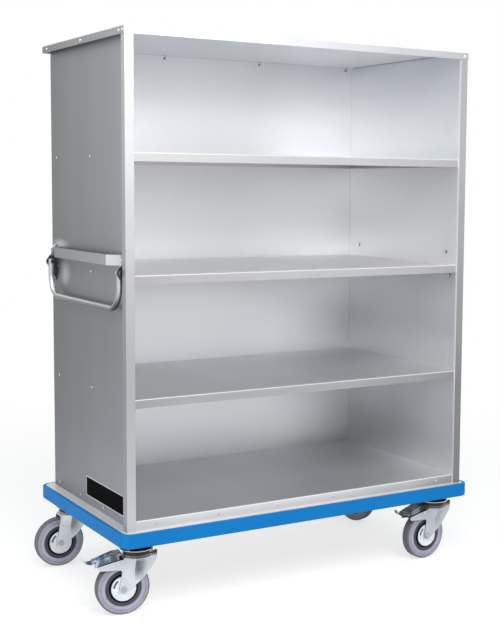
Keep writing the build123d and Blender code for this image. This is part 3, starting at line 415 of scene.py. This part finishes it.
def window(tree, value, low, high, soft):
    """1 between two limits, with soft sides."""
    rise = spread(tree, value, low - soft, low + soft)
    fall = spread(tree, value, high - soft, high + soft, 1.0, 0.0)
    return product(tree, rise, fall)


def patch(tree, across, up, level):
    """A soft oval, from the level in its middle to 1; each axis is (value, centre, half size)."""
    squares = []
    for value, centre, half in (across, up):
        share = maths(tree, "DIVIDE", maths(tree, "SUBTRACT", value, centre), half)
        squares.append(product(tree, share, share))
    distance = maths(tree, "SQRT", maths(tree, "ADD", *squares))
    return spread(tree, distance, 0.0, 1.0, level, 1.0)


def with_areas(tree, level, across, centre, height, areas):
    """Multiplies a level by soft areas, all centred on one place across the sheet."""
    for rise, half_across, half_up, area_level in areas:
        area = patch(tree, (across, centre, half_across), (height, rise, half_up), area_level)
        level = product(tree, level, area)
    return level


def curve(tree, value, stops):
    """A smooth curve through (position, level) stops."""
    low, high = stops[0][0], stops[-1][0]
    ramp = add_node(tree, "ShaderNodeValToRGB")
    link(tree, spread(tree, value, low, high, smooth=False), ramp.inputs[0])
    points = ramp.color_ramp.elements
    while len(points) < len(stops):
        points.new(0.5)
    for point, (position, level) in zip(points, stops):
        point.position = (position - low) / (high - low)
        point.color = (level, level, level, 1)
    ramp.color_ramp.interpolation = "EASE"
    return ramp.outputs["Color"]


def levels_across(tree, across, levels):
    """Levels at equal steps from the left post to the right one."""
    step = (RIGHT - LEFT) / (len(levels) - 1)
    return curve(tree, across, [(LEFT + step * i, value) for i, value in enumerate(levels)])


def blend(tree, share, a, b):
    """Mixes two colours; sockets 6, 7 and 2 are the mix node's colour ones."""
    made = add_node(tree, "ShaderNodeMix", data_type="RGBA")
    feed(tree, made.inputs[0], share)
    feed(tree, made.inputs[6], a if is_socket(a) else (*a, 1))
    feed(tree, made.inputs[7], b if is_socket(b) else (*b, 1))
    return made.outputs[2]


def scaled(tree, color, level):
    made = add_node(tree, "ShaderNodeVectorMath", operation="SCALE")
    feed(tree, made.inputs[0], color if is_socket(color) else tuple(color))
    feed(tree, made.inputs["Scale"], level)
    return made.outputs[0]


def noise(tree, scale, detail, stretch=EVEN):
    mapping = add_node(tree, "ShaderNodeMapping")
    link(tree, add_node(tree, "ShaderNodeTexCoord").outputs["Object"], mapping.inputs["Vector"])
    mapping.inputs["Scale"].default_value = stretch
    made = add_node(tree, "ShaderNodeTexNoise")
    link(tree, mapping.outputs[0], made.inputs["Vector"])
    made.inputs["Scale"].default_value = scale
    made.inputs["Detail"].default_value = detail
    return made.outputs["Fac"]


def bump(tree, bsdf, height, distance):
    made = add_node(tree, "ShaderNodeBump")
    link(tree, height, made.inputs["Height"])
    made.inputs["Distance"].default_value = distance
    made.inputs["Strength"].default_value = 1.0
    link(tree, made.outputs[0], bsdf.inputs["Normal"])


class Paint:
    """A material under construction: a Principled shader and a few common steps."""

    def __init__(self, name, roughness, metallic=0.0, color=None, specular=0.5):
        self.material = bpy.data.materials.new(name)
        self.material.use_nodes = True
        self.tree = self.material.node_tree
        self.bsdf = self.tree.nodes["Principled BSDF"]
        self.bsdf.inputs["Metallic"].default_value = metallic
        self.bsdf.inputs["Roughness"].default_value = roughness
        self.bsdf.inputs["Specular IOR Level"].default_value = specular
        self.roughness = roughness
        self.color = color
        self.level = None

    def shade(self, value):
        """Multiplies the colour by a level."""
        self.level = value if self.level is None else product(self.tree, self.level, value)

    def shade_where(self, share, level, smooth=False):
        """Multiplies the colour by a level where the share is 1."""
        self.shade(spread(self.tree, share, 0.0, 1.0, 1.0, level, smooth))

    def shade_facing(self, direction, turn, level):
        """Multiplies the colour by a level where the surface has turned to a direction."""
        self.shade(spread(self.tree, facing(self.tree, direction), *turn, 1.0, level))

    def two_sides(self, outward, inner, outer):
        """Gives a sheet one look inside the compartments and another outside."""
        turned = facing(self.tree, outward)
        self.color = blend(self.tree, spread(self.tree, turned, *SHEET_TURN), inner, outer)
        metallic = spread(self.tree, turned, *SHEET_TURN, INNER_METALLIC, PANEL_METALLIC)
        link(self.tree, metallic, self.bsdf.inputs["Metallic"])

    def mottle(self, scale, amount):
        patches = noise(self.tree, scale, MOTTLE_DETAIL)
        self.shade(spread(self.tree, patches, *MOTTLE_RANGE, 1 - amount, 1 + amount))

    def grain(self, scale, depth, stretch=EVEN):
        fine = noise(self.tree, scale, GRAIN_DETAIL, stretch)
        smoothest = self.roughness - GRAIN_ROUGHNESS
        roughest = self.roughness + GRAIN_ROUGHNESS
        rough = spread(self.tree, fine, *GRAIN_RANGE, smoothest, roughest)
        link(self.tree, rough, self.bsdf.inputs["Roughness"])
        bump(self.tree, self.bsdf, fine, depth)

    def brush(self, stretch):
        """The sheets' brushed grain."""
        self.grain(BRUSH_SCALE, BRUSH_DEPTH, stretch)

    def done(self):
        color = self.color
        if self.level is not None:
            color = scaled(self.tree, color, self.level)
        feed(self.tree, self.bsdf.inputs["Base Color"], color if is_socket(color) else (*color, 1))
        return self.material


def assign(material, *names):
    for name in names:
        slots = nodes[name].data.materials
        slots.clear()
        slots.append(material)


# Camera, world, lamps and floor

def add_object(name, data):
    made = bpy.data.objects.new(name, data)
    bpy.context.scene.collection.objects.link(made)
    return made


def make_camera():
    level = Vector((sin(CAMERA_YAW), cos(CAMERA_YAW), 0))
    right = Vector((cos(CAMERA_YAW), -sin(CAMERA_YAW), 0))
    up = Vector(UPWARD)
    ahead = level * cos(CAMERA_PITCH) - up * sin(CAMERA_PITCH)
    above = up * cos(CAMERA_PITCH) + level * sin(CAMERA_PITCH)
    local_x = right * cos(CAMERA_ROLL) + above * sin(CAMERA_ROLL)
    local_y = above * cos(CAMERA_ROLL) - right * sin(CAMERA_ROLL)
    camera = add_object("camera", bpy.data.cameras.new("camera"))
    camera.data.sensor_width = SENSOR
    camera.data.lens = FOCAL / IMAGE_HEIGHT * SENSOR
    camera.data.shift_x = -AXIS_RIGHT / IMAGE_HEIGHT
    camera.data.shift_y = -AXIS_UP / IMAGE_HEIGHT
    camera.data.clip_start = CLIP_START
    turn = Matrix((local_x, local_y, -ahead)).transposed().to_4x4()
    camera.matrix_world = Matrix.Translation(CAMERA_PLACE) @ turn
    bpy.context.scene.camera = camera


def seen_share(tree):
    """1 where a camera, glossy or transmission ray looks."""
    path = add_node(tree, "ShaderNodeLightPath")
    share = maths(tree, "MAXIMUM", path.outputs["Is Camera Ray"], path.outputs["Is Glossy Ray"])
    return maths(tree, "MAXIMUM", share, path.outputs["Is Transmission Ray"])


def mix_shaders(tree, share, a, b):
    made = add_node(tree, "ShaderNodeMixShader")
    for source, socket in zip((share, a, b), made.inputs):
        link(tree, source, socket)
    return made.outputs[0]


def shining(tree, kind, color, strength):
    """A background or an emission."""
    made = add_node(tree, kind)
    made.inputs["Color"].default_value = (*color, 1)
    made.inputs["Strength"].default_value = strength
    return made.outputs[0]


def diffuse(tree, grey):
    made = add_node(tree, "ShaderNodeBsdfDiffuse")
    made.inputs["Color"].default_value = (grey, grey, grey, 1)
    return made.outputs[0]


def make_world():
    """Soft daylight on the object, plain white for the camera and in reflections."""
    world = bpy.data.worlds.new("studio")
    world.use_nodes = True
    bpy.context.scene.world = world
    tree = world.node_tree
    tree.nodes.clear()
    light = shining(tree, "ShaderNodeBackground", WORLD_COLOR, WORLD_STRENGTH)
    seen = shining(tree, "ShaderNodeBackground", WHITE, 1.0)
    out = add_node(tree, "ShaderNodeOutputWorld")
    link(tree, mix_shaders(tree, seen_share(tree), light, seen), out.inputs[0])


def area_light(name, place, target, size, watts):
    lamp = bpy.data.lights.new(name, "AREA")
    lamp.shape = "RECTANGLE"
    lamp.size, lamp.size_y = size
    lamp.energy = watts
    holder = add_object(name, lamp)
    holder.location = place
    aim = Vector(target) - Vector(place)
    holder.rotation_mode = "QUATERNION"
    holder.rotation_quaternion = aim.to_track_quat("-Z", "Y")


def make_floor():
    """White paper that catches the soft shadows and turns into the background further out."""
    mesh = bpy.data.meshes.new("floor")
    half = FLOOR_SIZE / 2
    corners = [(-half, -half, 0), (half, -half, 0), (half, half, 0), (-half, half, 0)]
    mesh.from_pydata(corners, [], [(0, 1, 2, 3)])
    floor = add_object("floor", mesh)
    material = bpy.data.materials.new("floor")
    material.use_nodes = True
    tree = material.node_tree
    tree.nodes.remove(tree.nodes["Principled BSDF"])
    near = add_node(tree, "ShaderNodeAddShader")
    link(tree, diffuse(tree, FLOOR_GREY), near.inputs[0])
    link(tree, shining(tree, "ShaderNodeEmission", WHITE, FLOOR_LIFT), near.inputs[1])
    far = shining(tree, "ShaderNodeEmission", WHITE, 1.0)
    fade = spread(tree, off_axis(tree, (0, 0, 0), UPWARD), *FLOOR_FADE)
    seen = mix_shaders(tree, fade, near.outputs[0], far)
    surface = mix_shaders(tree, seen_share(tree), diffuse(tree, FLOOR_BOUNCE), seen)
    link(tree, surface, tree.nodes["Material Output"].inputs["Surface"])
    mesh.materials.append(material)


# Sheet metal of the cabinet

def side_panel(name, outward):
    """Side sheet: satin grey outside and paler inside the compartments, both with painted light and
    shade.
    """
    paint = Paint(name, roughness=0.42)
    tree = paint.tree
    depth = along(tree, REARWARD)
    height = along(tree, UPWARD)
    outer = product(
        tree, curve(tree, depth, PANEL_DEPTH_LEVELS), curve(tree, height, PANEL_RISE_LEVELS),
    )
    for centre, half_depth, rise, half_up, level in PANEL_PAINTED_HIGHLIGHTS:
        painted_highlight = patch(tree, (depth, centre, half_depth), (height, rise, half_up), level)
        outer = product(tree, outer, painted_highlight)
    high_share = spread(tree, height, *PANEL_COLOR_RISE)
    deep_share = spread(tree, depth, *PANEL_COLOR_DEPTH)
    color = blend(tree, product(tree, high_share, deep_share), PANEL_LOW_COLOR, PANEL_COLOR)
    inner = curve(tree, height, SIDE_WALL_LEVELS)
    inner = with_areas(tree, inner, depth, BACK, height, SIDE_WALL_BACK_AREAS)
    inner = with_areas(tree, inner, depth, FRONT, height, SIDE_WALL_FRONT_AREAS)
    paint.two_sides(outward, scaled(tree, INNER_COLOR, inner), scaled(tree, color, outer))
    paint.mottle(scale=2.2, amount=0.025)
    paint.brush(FINE_UP)
    return paint.done()


def inner_wall():
    """Back sheet and header: pale inside the compartments and satin grey outside, both with painted
    light and shade.
    """
    paint = Paint("inner_wall", roughness=0.40)
    tree = paint.tree
    across = along(tree, RIGHTWARD)
    height = along(tree, UPWARD)
    line_start, line_end = (INNER_RIGHT - distance for distance in CORNER_LINE)
    inner = product(
        tree,
        curve(tree, height, BACK_WALL_LEVELS),
        spread(tree, across, line_start, line_end, 1.0, CORNER_LEVEL),
        spread(tree, across, **BACK_WALL_FADE),
    )
    inner = with_areas(tree, inner, across, INNER_RIGHT, height, BACK_WALL_AREAS)
    outer = scaled(tree, PANEL_COLOR, curve(tree, height, BACK_OUTSIDE_LEVELS))
    paint.two_sides(REARWARD, scaled(tree, INNER_COLOR, inner), outer)
    paint.mottle(scale=1.6, amount=0.02)
    paint.brush(FINE_ACROSS)
    return paint.done()


def shelf_sheet(name, tread, lip, lip_levels, tread_levels):
    """Shelf: satin tread and front lip, both with painted light and shade, and a painted highlight
    on the bend between them.
    """
    paint = Paint(name + "_sheet", roughness=0.36, metallic=0.8)
    tree = paint.tree
    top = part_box(name)[1][2]
    height = along(tree, UPWARD)
    across = along(tree, RIGHTWARD)
    front = along(tree, FORWARD, (0, FRONT, 0))
    lip_start, tread_start = (top - drop for drop in LIP_DROP)
    on_tread = spread(tree, height, lip_start, tread_start)
    front_face = scaled(tree, lip, levels_across(tree, across, lip_levels))
    top_face = scaled(tree, tread, levels_across(tree, across, tread_levels))
    body = blend(tree, on_tread, front_face, top_face)
    bend_height = window(tree, height, top - BEND_DROP, top + BEND_RISE, BEND_SOFT)
    bend = product(tree, bend_height, spread(tree, front, *BEND_PLACE))
    paint.color = blend(tree, product(tree, bend, BEND_HIGHLIGHT_SHARE), body, BEND_HIGHLIGHT_COLOR)
    paint.mottle(scale=1.8, amount=0.02)
    paint.brush(FINE_ACROSS)
    return paint.done()


def post_sheet(name, stops, side_level):
    """Corner post: painted light and shade as levels up its height, and another painted level on the
    faces to the left.
    """
    paint = Paint(name, roughness=0.32, metallic=0.30, color=PALE_COLOR)
    tree = paint.tree
    on_side = spread(tree, facing(tree, LEFTWARD), *POST_SIDE_TURN)
    elsewhere = maths(tree, "SUBTRACT", 1.0, on_side)
    levels = curve(tree, along(tree, UPWARD), stops)
    side_levels = maths(tree, "MINIMUM", product(tree, levels, side_level), POST_SIDE_CAP)
    front_part = product(tree, levels, elsewhere)
    paint.shade(maths(tree, "ADD", front_part, product(tree, side_levels, on_side)))
    paint.brush(FINE_UP)
    return paint.done()


def cover_sheet():
    """Top cover: painted light and shade as levels along its front and left rims and a duller top;
    below, a dark joint line and painted shade towards the left.
    """
    paint = Paint("cover_sheet", roughness=0.34, metallic=0.5, color=PALE_COLOR)
    tree = paint.tree
    across = along(tree, RIGHTWARD)
    depth = along(tree, REARWARD)
    is_front = spread(tree, facing(tree, FORWARD), *FACE_TURN)
    is_left = spread(tree, facing(tree, LEFTWARD), *FACE_TURN)
    is_under = spread(tree, facing(tree, DOWNWARD), *FACE_TURN)
    front_rim = product(tree, is_front, curve(tree, across, COVER_FRONT_LEVELS))
    left_rim = product(tree, is_left, curve(tree, depth, COVER_LEFT_LEVELS))
    rims = maths(tree, "ADD", front_rim, left_rim)
    elsewhere = maths(tree, "SUBTRACT", 1.0, maths(tree, "ADD", is_front, is_left), clamp=True)
    top_level = spread(tree, facing(tree, UPWARD), *FACE_TURN, 1.0, COVER_TOP_LEVEL)
    paint.shade(maths(tree, "ADD", rims, product(tree, elsewhere, top_level)))
    joint_start, joint_end = (INNER_RIGHT - distance for distance in COVER_JOINT)
    joint = product(tree, spread(tree, across, joint_start, joint_end), COVER_JOINT_SHADE)
    dim = maths(tree, "ADD", joint, spread(tree, across, **COVER_LEFT_FADE))
    paint.shade(maths(tree, "SUBTRACT", 1.0, product(tree, is_under, dim)))
    paint.mottle(scale=1.8, amount=0.02)
    paint.brush(FINE_ACROSS)
    return paint.done()


def deck_sheet():
    paint = Paint("deck_sheet", roughness=0.42, metallic=0.30, color=(0.76, 0.75, 0.74))
    paint.mottle(scale=3.0, amount=0.04)
    paint.grain(scale=700, depth=0.00003)
    return paint.done()


def bumper_plastic():
    """Blue plastic, with a painted highlight making its left side a little paler."""
    paint = Paint("bumper_plastic", roughness=0.42, color=(0.010, 0.205, 0.560), specular=0.04)
    paint.shade_facing(LEFTWARD, turn=(0.3, 0.9), level=1.25)
    paint.mottle(scale=4.0, amount=0.03)
    paint.grain(scale=1500, depth=0.00004)
    return paint.done()


# Handles, bolts and rivets

def guard_sheet():
    """Flat bar: painted highlights on the slanted front end and the top, and painted shade darkening
    its face towards the rear.
    """
    paint = Paint("guard_sheet", roughness=0.36, metallic=0.5, color=(0.40, 0.42, 0.43))
    tree = paint.tree
    slant = spread(tree, facing(tree, FORWARD), *GUARD_SLANT_TURN)
    face = curve(tree, along(tree, REARWARD), GUARD_LEVELS)
    paint.shade(maths(tree, "ADD", face, product(tree, slant, GUARD_SLANT_HIGHLIGHT)))
    paint.shade_facing(UPWARD, turn=(0.3, 0.8), level=1.9)
    paint.brush(FINE_DEEP)
    return paint.done()


def bail_metal():
    """Bent bar: painted highlights along its top and front, painted shade underneath, and a grip
    painted darker than the legs.
    """
    paint = Paint("bail_metal", roughness=0.24, metallic=0.85, color=(0.66, 0.68, 0.69))
    tree = paint.tree
    paint.shade(curve(tree, facing(tree, UPWARD), BAIL_LEVELS))
    paint.shade_facing(FORWARD, turn=(0.2, 0.9), level=1.7)
    paint.shade(spread(tree, along(tree, UPWARD), GRIP_TOP, LEG_START, GRIP_LEVEL, LEG_LEVEL))
    paint.mottle(scale=6.0, amount=0.05)
    paint.grain(scale=1400, depth=0.00002, stretch=(1, 8, 1))
    return paint.done()


def bracket_metal():
    """Dark bracket, with painted light making it pale from beside the guard upward and on its upward
    faces.
    """
    paint = Paint("bracket_metal", roughness=0.30, metallic=0.4, color=(0.075, 0.078, 0.083))
    tree = paint.tree
    height = along(tree, UPWARD)
    pale = spread(tree, height, BRACKET_LIGHT_START, BRACKET_LIGHT_END, 1.0, BRACKET_LIGHT_LEVEL)
    paint.shade(pale)
    paint.shade_facing(UPWARD, turn=(0.3, 0.8), level=BRACKET_LIGHT_LEVEL)
    paint.mottle(scale=60.0, amount=0.45)
    paint.grain(scale=1100, depth=0.00003)
    return paint.done()


def bolt_metal(name, level, roughness=0.25, axis=None):
    """Bolt and rivet heads: where the axis is given, the face keeps its level and painted shade
    darkens the rim.
    """
    paint = Paint(name, roughness, metallic=0.85, color=(level, level, level * 1.02))
    tree = paint.tree
    if axis:
        on_face = maths(tree, "ABSOLUTE", facing(tree, axis))
        paint.shade(spread(tree, on_face, *BOLT_FACE_TURN, BOLT_RIM_SHADE, 1.0))
    paint.mottle(scale=60.0, amount=0.08)
    paint.grain(scale=1800, depth=0.00002)
    return paint.done()


# Name plate

def plate_box():
    """The plate's own box, a little taller and longer than the solid it stands for."""
    (x0, y0, z0), (x1, y1, z1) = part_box("name_plate")
    low = (x0, y0 - PLATE_LONGER, z0 - PLATE_TALLER)
    high = (x1, y1 + PLATE_LONGER, z1 + PLATE_TALLER)
    return low, high


def make_piece(name, mesh_data, body, material):
    mesh = bpy.data.meshes.new(name)
    mesh_data.to_mesh(mesh)
    mesh_data.free()
    mesh.materials.append(material)
    piece = add_object(name, mesh)
    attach(piece, body)
    return piece


def make_plate():
    """Thin plate with rounded corners and a softened front edge."""
    (x0, y0, z0), (x1, y1, z1) = plate_box()
    outline = []
    corners = [(y1, z1, 0), (y0, z1, 90), (y0, z0, 180), (y1, z0, 270)]
    for corner_y, corner_z, start in corners:
        inward_y = -PLATE_CORNER if corner_y == y1 else PLATE_CORNER
        inward_z = -PLATE_CORNER if corner_z == z1 else PLATE_CORNER
        for step in range(CORNER_STEPS + 1):
            angle = radians(start + 90 * step / CORNER_STEPS)
            outline.append((
                corner_y + inward_y + PLATE_CORNER * cos(angle),
                corner_z + inward_z + PLATE_CORNER * sin(angle),
            ))
    mesh_data = bmesh.new()
    back = [mesh_data.verts.new((x1, y, z)) for y, z in outline]
    face = mesh_data.faces.new(back)
    pulled = bmesh.ops.extrude_face_region(mesh_data, geom=[face])
    raised = [item for item in pulled["geom"] if isinstance(item, bmesh.types.BMVert)]
    bmesh.ops.translate(mesh_data, verts=raised, vec=(x0 - x1, 0, 0))
    rim = [edge for edge in mesh_data.edges if all(vert in raised for vert in edge.verts)]
    bmesh.ops.bevel(
        mesh_data, geom=rim, offset=PLATE_EASE, segments=PLATE_EASE_STEPS, affect="EDGES",
    )
    bmesh.ops.recalc_face_normals(mesh_data, faces=mesh_data.faces)
    piece = make_piece("name_plate_face", mesh_data, "cabinet", plate_material())
    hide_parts("name_plate")


def plate_material():
    """Plain black plate with a thin pale border."""
    (_, y0, z0), (_, y1, z1) = plate_box()
    paint = Paint("name_plate_paint", roughness=0.6, specular=0.01)
    tree = paint.tree
    inside = product(
        tree,
        window(tree, along(tree, REARWARD), y0 + PLATE_BORDER, y1 - PLATE_BORDER, PLATE_BORDER_SOFT),
        window(tree, along(tree, UPWARD), z0 + PLATE_BORDER, z1 - PLATE_BORDER, PLATE_BORDER_SOFT),
    )
    paint.color = blend(tree, inside, PLATE_BORDER_COLOR, PLATE_COLOR)
    paint.mottle(scale=25.0, amount=0.15)
    paint.grain(scale=1200, depth=0.00002)
    return paint.done()


# Casters

class Caster:
    """Places, directions and tones of one caster; the places are read from its joints."""

    def __init__(self, corner, tones):
        swivel = record_joints[corner + "_swivel_turn"]
        spin = record_joints[corner + "_wheel_spin"]
        self.corner = corner
        self.tones = tones
        self.pivot = Vector((swivel["pos_m"][0], swivel["pos_m"][1], 0))
        self.hub = Vector(spin["pos_m"])
        self.axis = Vector(spin["axis"])
        self.ahead = Vector((self.axis.y, -self.axis.x, 0))


def zinc(name, level, roughness=0.30, metallic=0.7):
    color = tuple(min(level * tint, 1.0) for tint in ZINC_TINT)
    paint = Paint(name, roughness, metallic, color)
    paint.mottle(scale=22.0, amount=0.07)
    paint.grain(scale=1300, depth=0.00004)
    return paint


def head_zinc(caster):
    """Plate and housing: a thin painted highlight on the rim, deep painted shade above it, and below
    it the dark ball ring, deepened by painted shade.
    """
    paint = zinc(caster.corner + "_head_zinc", HEAD_LEVEL)
    tree = paint.tree
    height = along(tree, UPWARD)
    rim = window(tree, height, *HEAD_RIM_BAND, soft=0.0003)
    paint.shade(spread(tree, rim, 0.0, 1.0, HEAD_SHADE, 1.0))
    return paint.done()


def fork_hollow_shade(tree, ahead, height):
    """Share of the painted, streaked shade in the hollow beside the fold of the fork's leg."""
    streaks = noise(tree, scale=70.0, detail=MOTTLE_DETAIL, stretch=(1, 1, 0.3))
    foot = spread(tree, height, *HOLLOW_FOOT)
    head = spread(tree, height, *HOLLOW_HEAD, 1.0, HOLLOW_HEAD_SHARE)
    return product(
        tree,
        spread(tree, ahead, *LEG_FOLD),
        spread(tree, ahead, *HOLLOW_FADE, 1.0, 0.0),
        product(tree, foot, head),
        spread(tree, streaks, *MOTTLE_RANGE, *HOLLOW_STREAKS),
    )


def fork_zinc(caster):
    """Pressed fork: pale outside, with painted shade in a hollow beside the leg's fold, between the
    legs and on the legs' edges; dark bands at the race and neck, and a dark top on the arm.
    """
    paint = zinc(caster.corner + "_fork_zinc", caster.tones["fork"], roughness=0.34, metallic=0.35)
    tree = paint.tree
    ahead = along(tree, caster.ahead, caster.pivot)
    height = along(tree, UPWARD)
    side = along(tree, caster.axis, caster.pivot)
    below = spread(tree, height, *CROWN_UNDERSIDE, 1.0, 0.0)
    paint.shade_where(fork_hollow_shade(tree, ahead, height), caster.tones["hollow"])
    paint.shade_where(window(tree, height, RACE_BOTTOM, RACE_TOP, soft=0.0008), level=0.035)
    neck = window(tree, height, NECK_BOTTOM, RACE_BOTTOM, soft=0.0008)
    outer_neck = spread(tree, off_axis(tree, caster.pivot, UPWARD), *NECK_EDGE)
    paint.shade_where(product(tree, neck, outer_neck), level=0.35)
    between_legs = window(tree, side, -LEG_INSIDE, LEG_INSIDE, soft=0.0004)
    paint.shade_where(product(tree, between_legs, below), level=0.10)
    flat = maths(tree, "ABSOLUTE", facing(tree, caster.axis))
    leg_edge = product(tree, spread(tree, flat, *LEG_FACE_TURN, 1.0, 0.0), below)
    paint.shade_where(leg_edge, level=0.50)
    on_top = spread(tree, facing(tree, UPWARD), *ARM_TOP_TURN)
    on_arm = spread(tree, ahead, *ARM_END, 1.0, 0.0)
    paint.shade_where(product(tree, on_top, on_arm), level=0.10)
    return paint.done()


def disc_zinc(caster):
    """Thread guard: pale disc with a dark curved slit, a line of painted shade for a pressed crease
    towards the rear, and a darker edge.
    """
    paint = zinc(caster.corner + "_disc_zinc", caster.tones["disc"], roughness=0.36, metallic=0.15)
    tree = paint.tree
    distance = off_axis(tree, caster.hub, caster.axis)
    ring = window(tree, distance, *SLIT_RING, soft=0.0006)
    middle = -caster.ahead * SLIT_BACK + Vector((0, 0, SLIT_UP))
    turned = maths(tree, "DIVIDE", along(tree, middle, caster.hub), distance)
    paint.shade_where(product(tree, ring, spread(tree, turned, *SLIT_ENDS)), level=0.06)
    crease = product(
        tree,
        window(tree, along(tree, -caster.ahead, caster.hub), *CREASE_PLACE, soft=0.0005),
        window(tree, along(tree, UPWARD, caster.hub), *CREASE_RISE, soft=0.003),
    )
    paint.shade_where(crease, level=0.45)
    paint.shade(spread(tree, distance, *DISC_EDGE, 1.0, DISC_EDGE_LEVEL))
    return paint.done()


def rim_plastic(caster):
    """Wheel rim: black next to the disc, dark grey at the tyre."""
    paint = Paint(caster.corner + "_rim_plastic", roughness=0.5, specular=0.15)
    tree = paint.tree
    distance = off_axis(tree, caster.hub, caster.axis)
    paint.color = blend(tree, spread(tree, distance, *RIM_EDGE), RIM_DARK, RIM_COLOR)
    paint.mottle(scale=40.0, amount=0.08)
    paint.grain(scale=1500, depth=0.00003)
    return paint.done()


def tyre_rubber(caster):
    """Lilac grey rubber with a darker tread, a paler ring and a dark line on each side."""
    paint = Paint(caster.corner + "_tyre_rubber", roughness=0.62, specular=0.2)
    tree = paint.tree
    distance = off_axis(tree, caster.hub, caster.axis)
    on_ring = window(tree, distance, *TYRE_RING, soft=0.0015)
    on_line = window(tree, distance, *TYRE_LINE, soft=0.0005)
    side = blend(tree, on_ring, TYRE_COLOR, TYRE_RING_COLOR)
    side = blend(tree, on_line, side, TYRE_LINE_COLOR)
    paint.color = blend(tree, spread(tree, distance, *TREAD_EDGE), side, TREAD_COLOR)
    # Painted light and shade: each corner's tyre gets its own level
    paint.shade(caster.tones["tyre"])
    paint.mottle(scale=35.0, amount=0.08)
    paint.grain(scale=1100, depth=0.00006)
    return paint.done()


def pedal_rectangle(tree, behind, side, inset):
    """1 inside the pedal's frame, drawn in by an inset."""
    half = PEDAL_FRAME_HALF - inset
    start, end = PEDAL_FRAME_START + inset, PEDAL_FRAME_END - inset
    return product(
        tree,
        window(tree, behind, start, end, PEDAL_FRAME_SOFT),
        window(tree, side, -half, half, PEDAL_FRAME_SOFT),
    )


def pedal_metal(caster):
    """Blue-grey, blotched pressing with a painted highlight on the raised frame round its tread
    plate, a darker root, and a painted light level for each corner.
    """
    color = tuple(channel * caster.tones["pedal"] for channel in PEDAL_COLOR)
    paint = Paint(caster.corner + "_pedal_metal", roughness=0.20, metallic=0.9, color=color)
    tree = paint.tree
    behind = along(tree, -caster.ahead, caster.pivot)
    side = along(tree, caster.axis, caster.pivot)
    outside = pedal_rectangle(tree, behind, side, 0.0)
    inside = pedal_rectangle(tree, behind, side, PEDAL_FRAME_WIDTH)
    paint.shade_where(maths(tree, "SUBTRACT", outside, inside), level=2.0, smooth=True)
    patches = noise(tree, scale=55.0, detail=MOTTLE_DETAIL, stretch=(1, 1, 0.4))
    paint.shade(spread(tree, patches, *BLOTCH_RANGE, *BLOTCH_LEVELS))
    bump(tree, paint.bsdf, patches, BLOTCH_DEPTH)
    paint.shade(spread(tree, behind, *PEDAL_ROOT, PEDAL_ROOT_LEVEL, 1.0))
    return paint.done()


# Materials of all the pieces

def dress_cabinet():
    assign(side_panel("left_panel_sheet", LEFTWARD), "left_side_panel")
    assign(side_panel("right_panel_sheet", RIGHTWARD), "right_side_panel")
    assign(inner_wall(), "back_panel", "rear_header")
    for side, tones in POST_TONES.items():
        assign(post_sheet(side + "_post_sheet", **tones), side + "_front_post")
    for name, tones in SHELF_TONES.items():
        assign(shelf_sheet(name, **tones), name)
    assign(cover_sheet(), "top_cover")
    assign(deck_sheet(), "deck", "front_caster_rail", "rear_caster_rail", "base_angles")
    assign(bumper_plastic(), "bumper")
    make_plate()


def dress_handles():
    assign(guard_sheet(), "left_handle_guard", "right_handle_guard")
    assign(bail_metal(), "left_handle_bail", "right_handle_bail")
    brackets = bracket_metal()
    for side in ("left", "right"):
        assign(brackets, side + "_front_handle_bracket", side + "_rear_handle_bracket")


def dress_fasteners():
    # The levels of these heads are painted light and shade, set for where each group sits
    side_bolts = bolt_metal("side_bolt", level=0.92, roughness=0.20, axis=RIGHTWARD)
    assign(side_bolts, "handle_bolts", "bail_pivot_bolts", "side_rivets")
    assign(bolt_metal("cover_rivet", level=0.86, roughness=0.20), "cover_rivets")
    assign(bolt_metal("floor_rivet", level=0.55), "floor_rivets")
    assign(bolt_metal("wall_rivet", level=0.22, roughness=0.4), "back_rivets")


def dress_casters():
    bolts = bolt_metal("caster_bolt_metal", level=0.66)
    axles = bolt_metal("axle_metal", level=0.46)
    assign(bolts, "caster_bolts")
    for corner, tones in CASTER_TONES.items():
        caster = Caster(corner, tones)
        assign(head_zinc(caster), corner + "_caster_head")
        assign(fork_zinc(caster), corner + "_fork")
        assign(disc_zinc(caster), corner + "_thread_guards")
        assign(rim_plastic(caster), corner + "_wheel_rim")
        assign(tyre_rubber(caster), corner + "_tyre")
        assign(axles, corner + "_axle")
        if "pedal" in tones:
            assign(pedal_metal(caster), corner + "_brake_pedal")
            assign(bolts, corner + "_pedal_pin")


make_camera()
make_world()
make_floor()
for lamp_name, lamp in LAMPS.items():
    area_light(lamp_name, **lamp)
dress_cabinet()
dress_handles()
dress_fasteners()
dress_casters()

bpy.context.scene.view_settings.view_transform = "Standard"
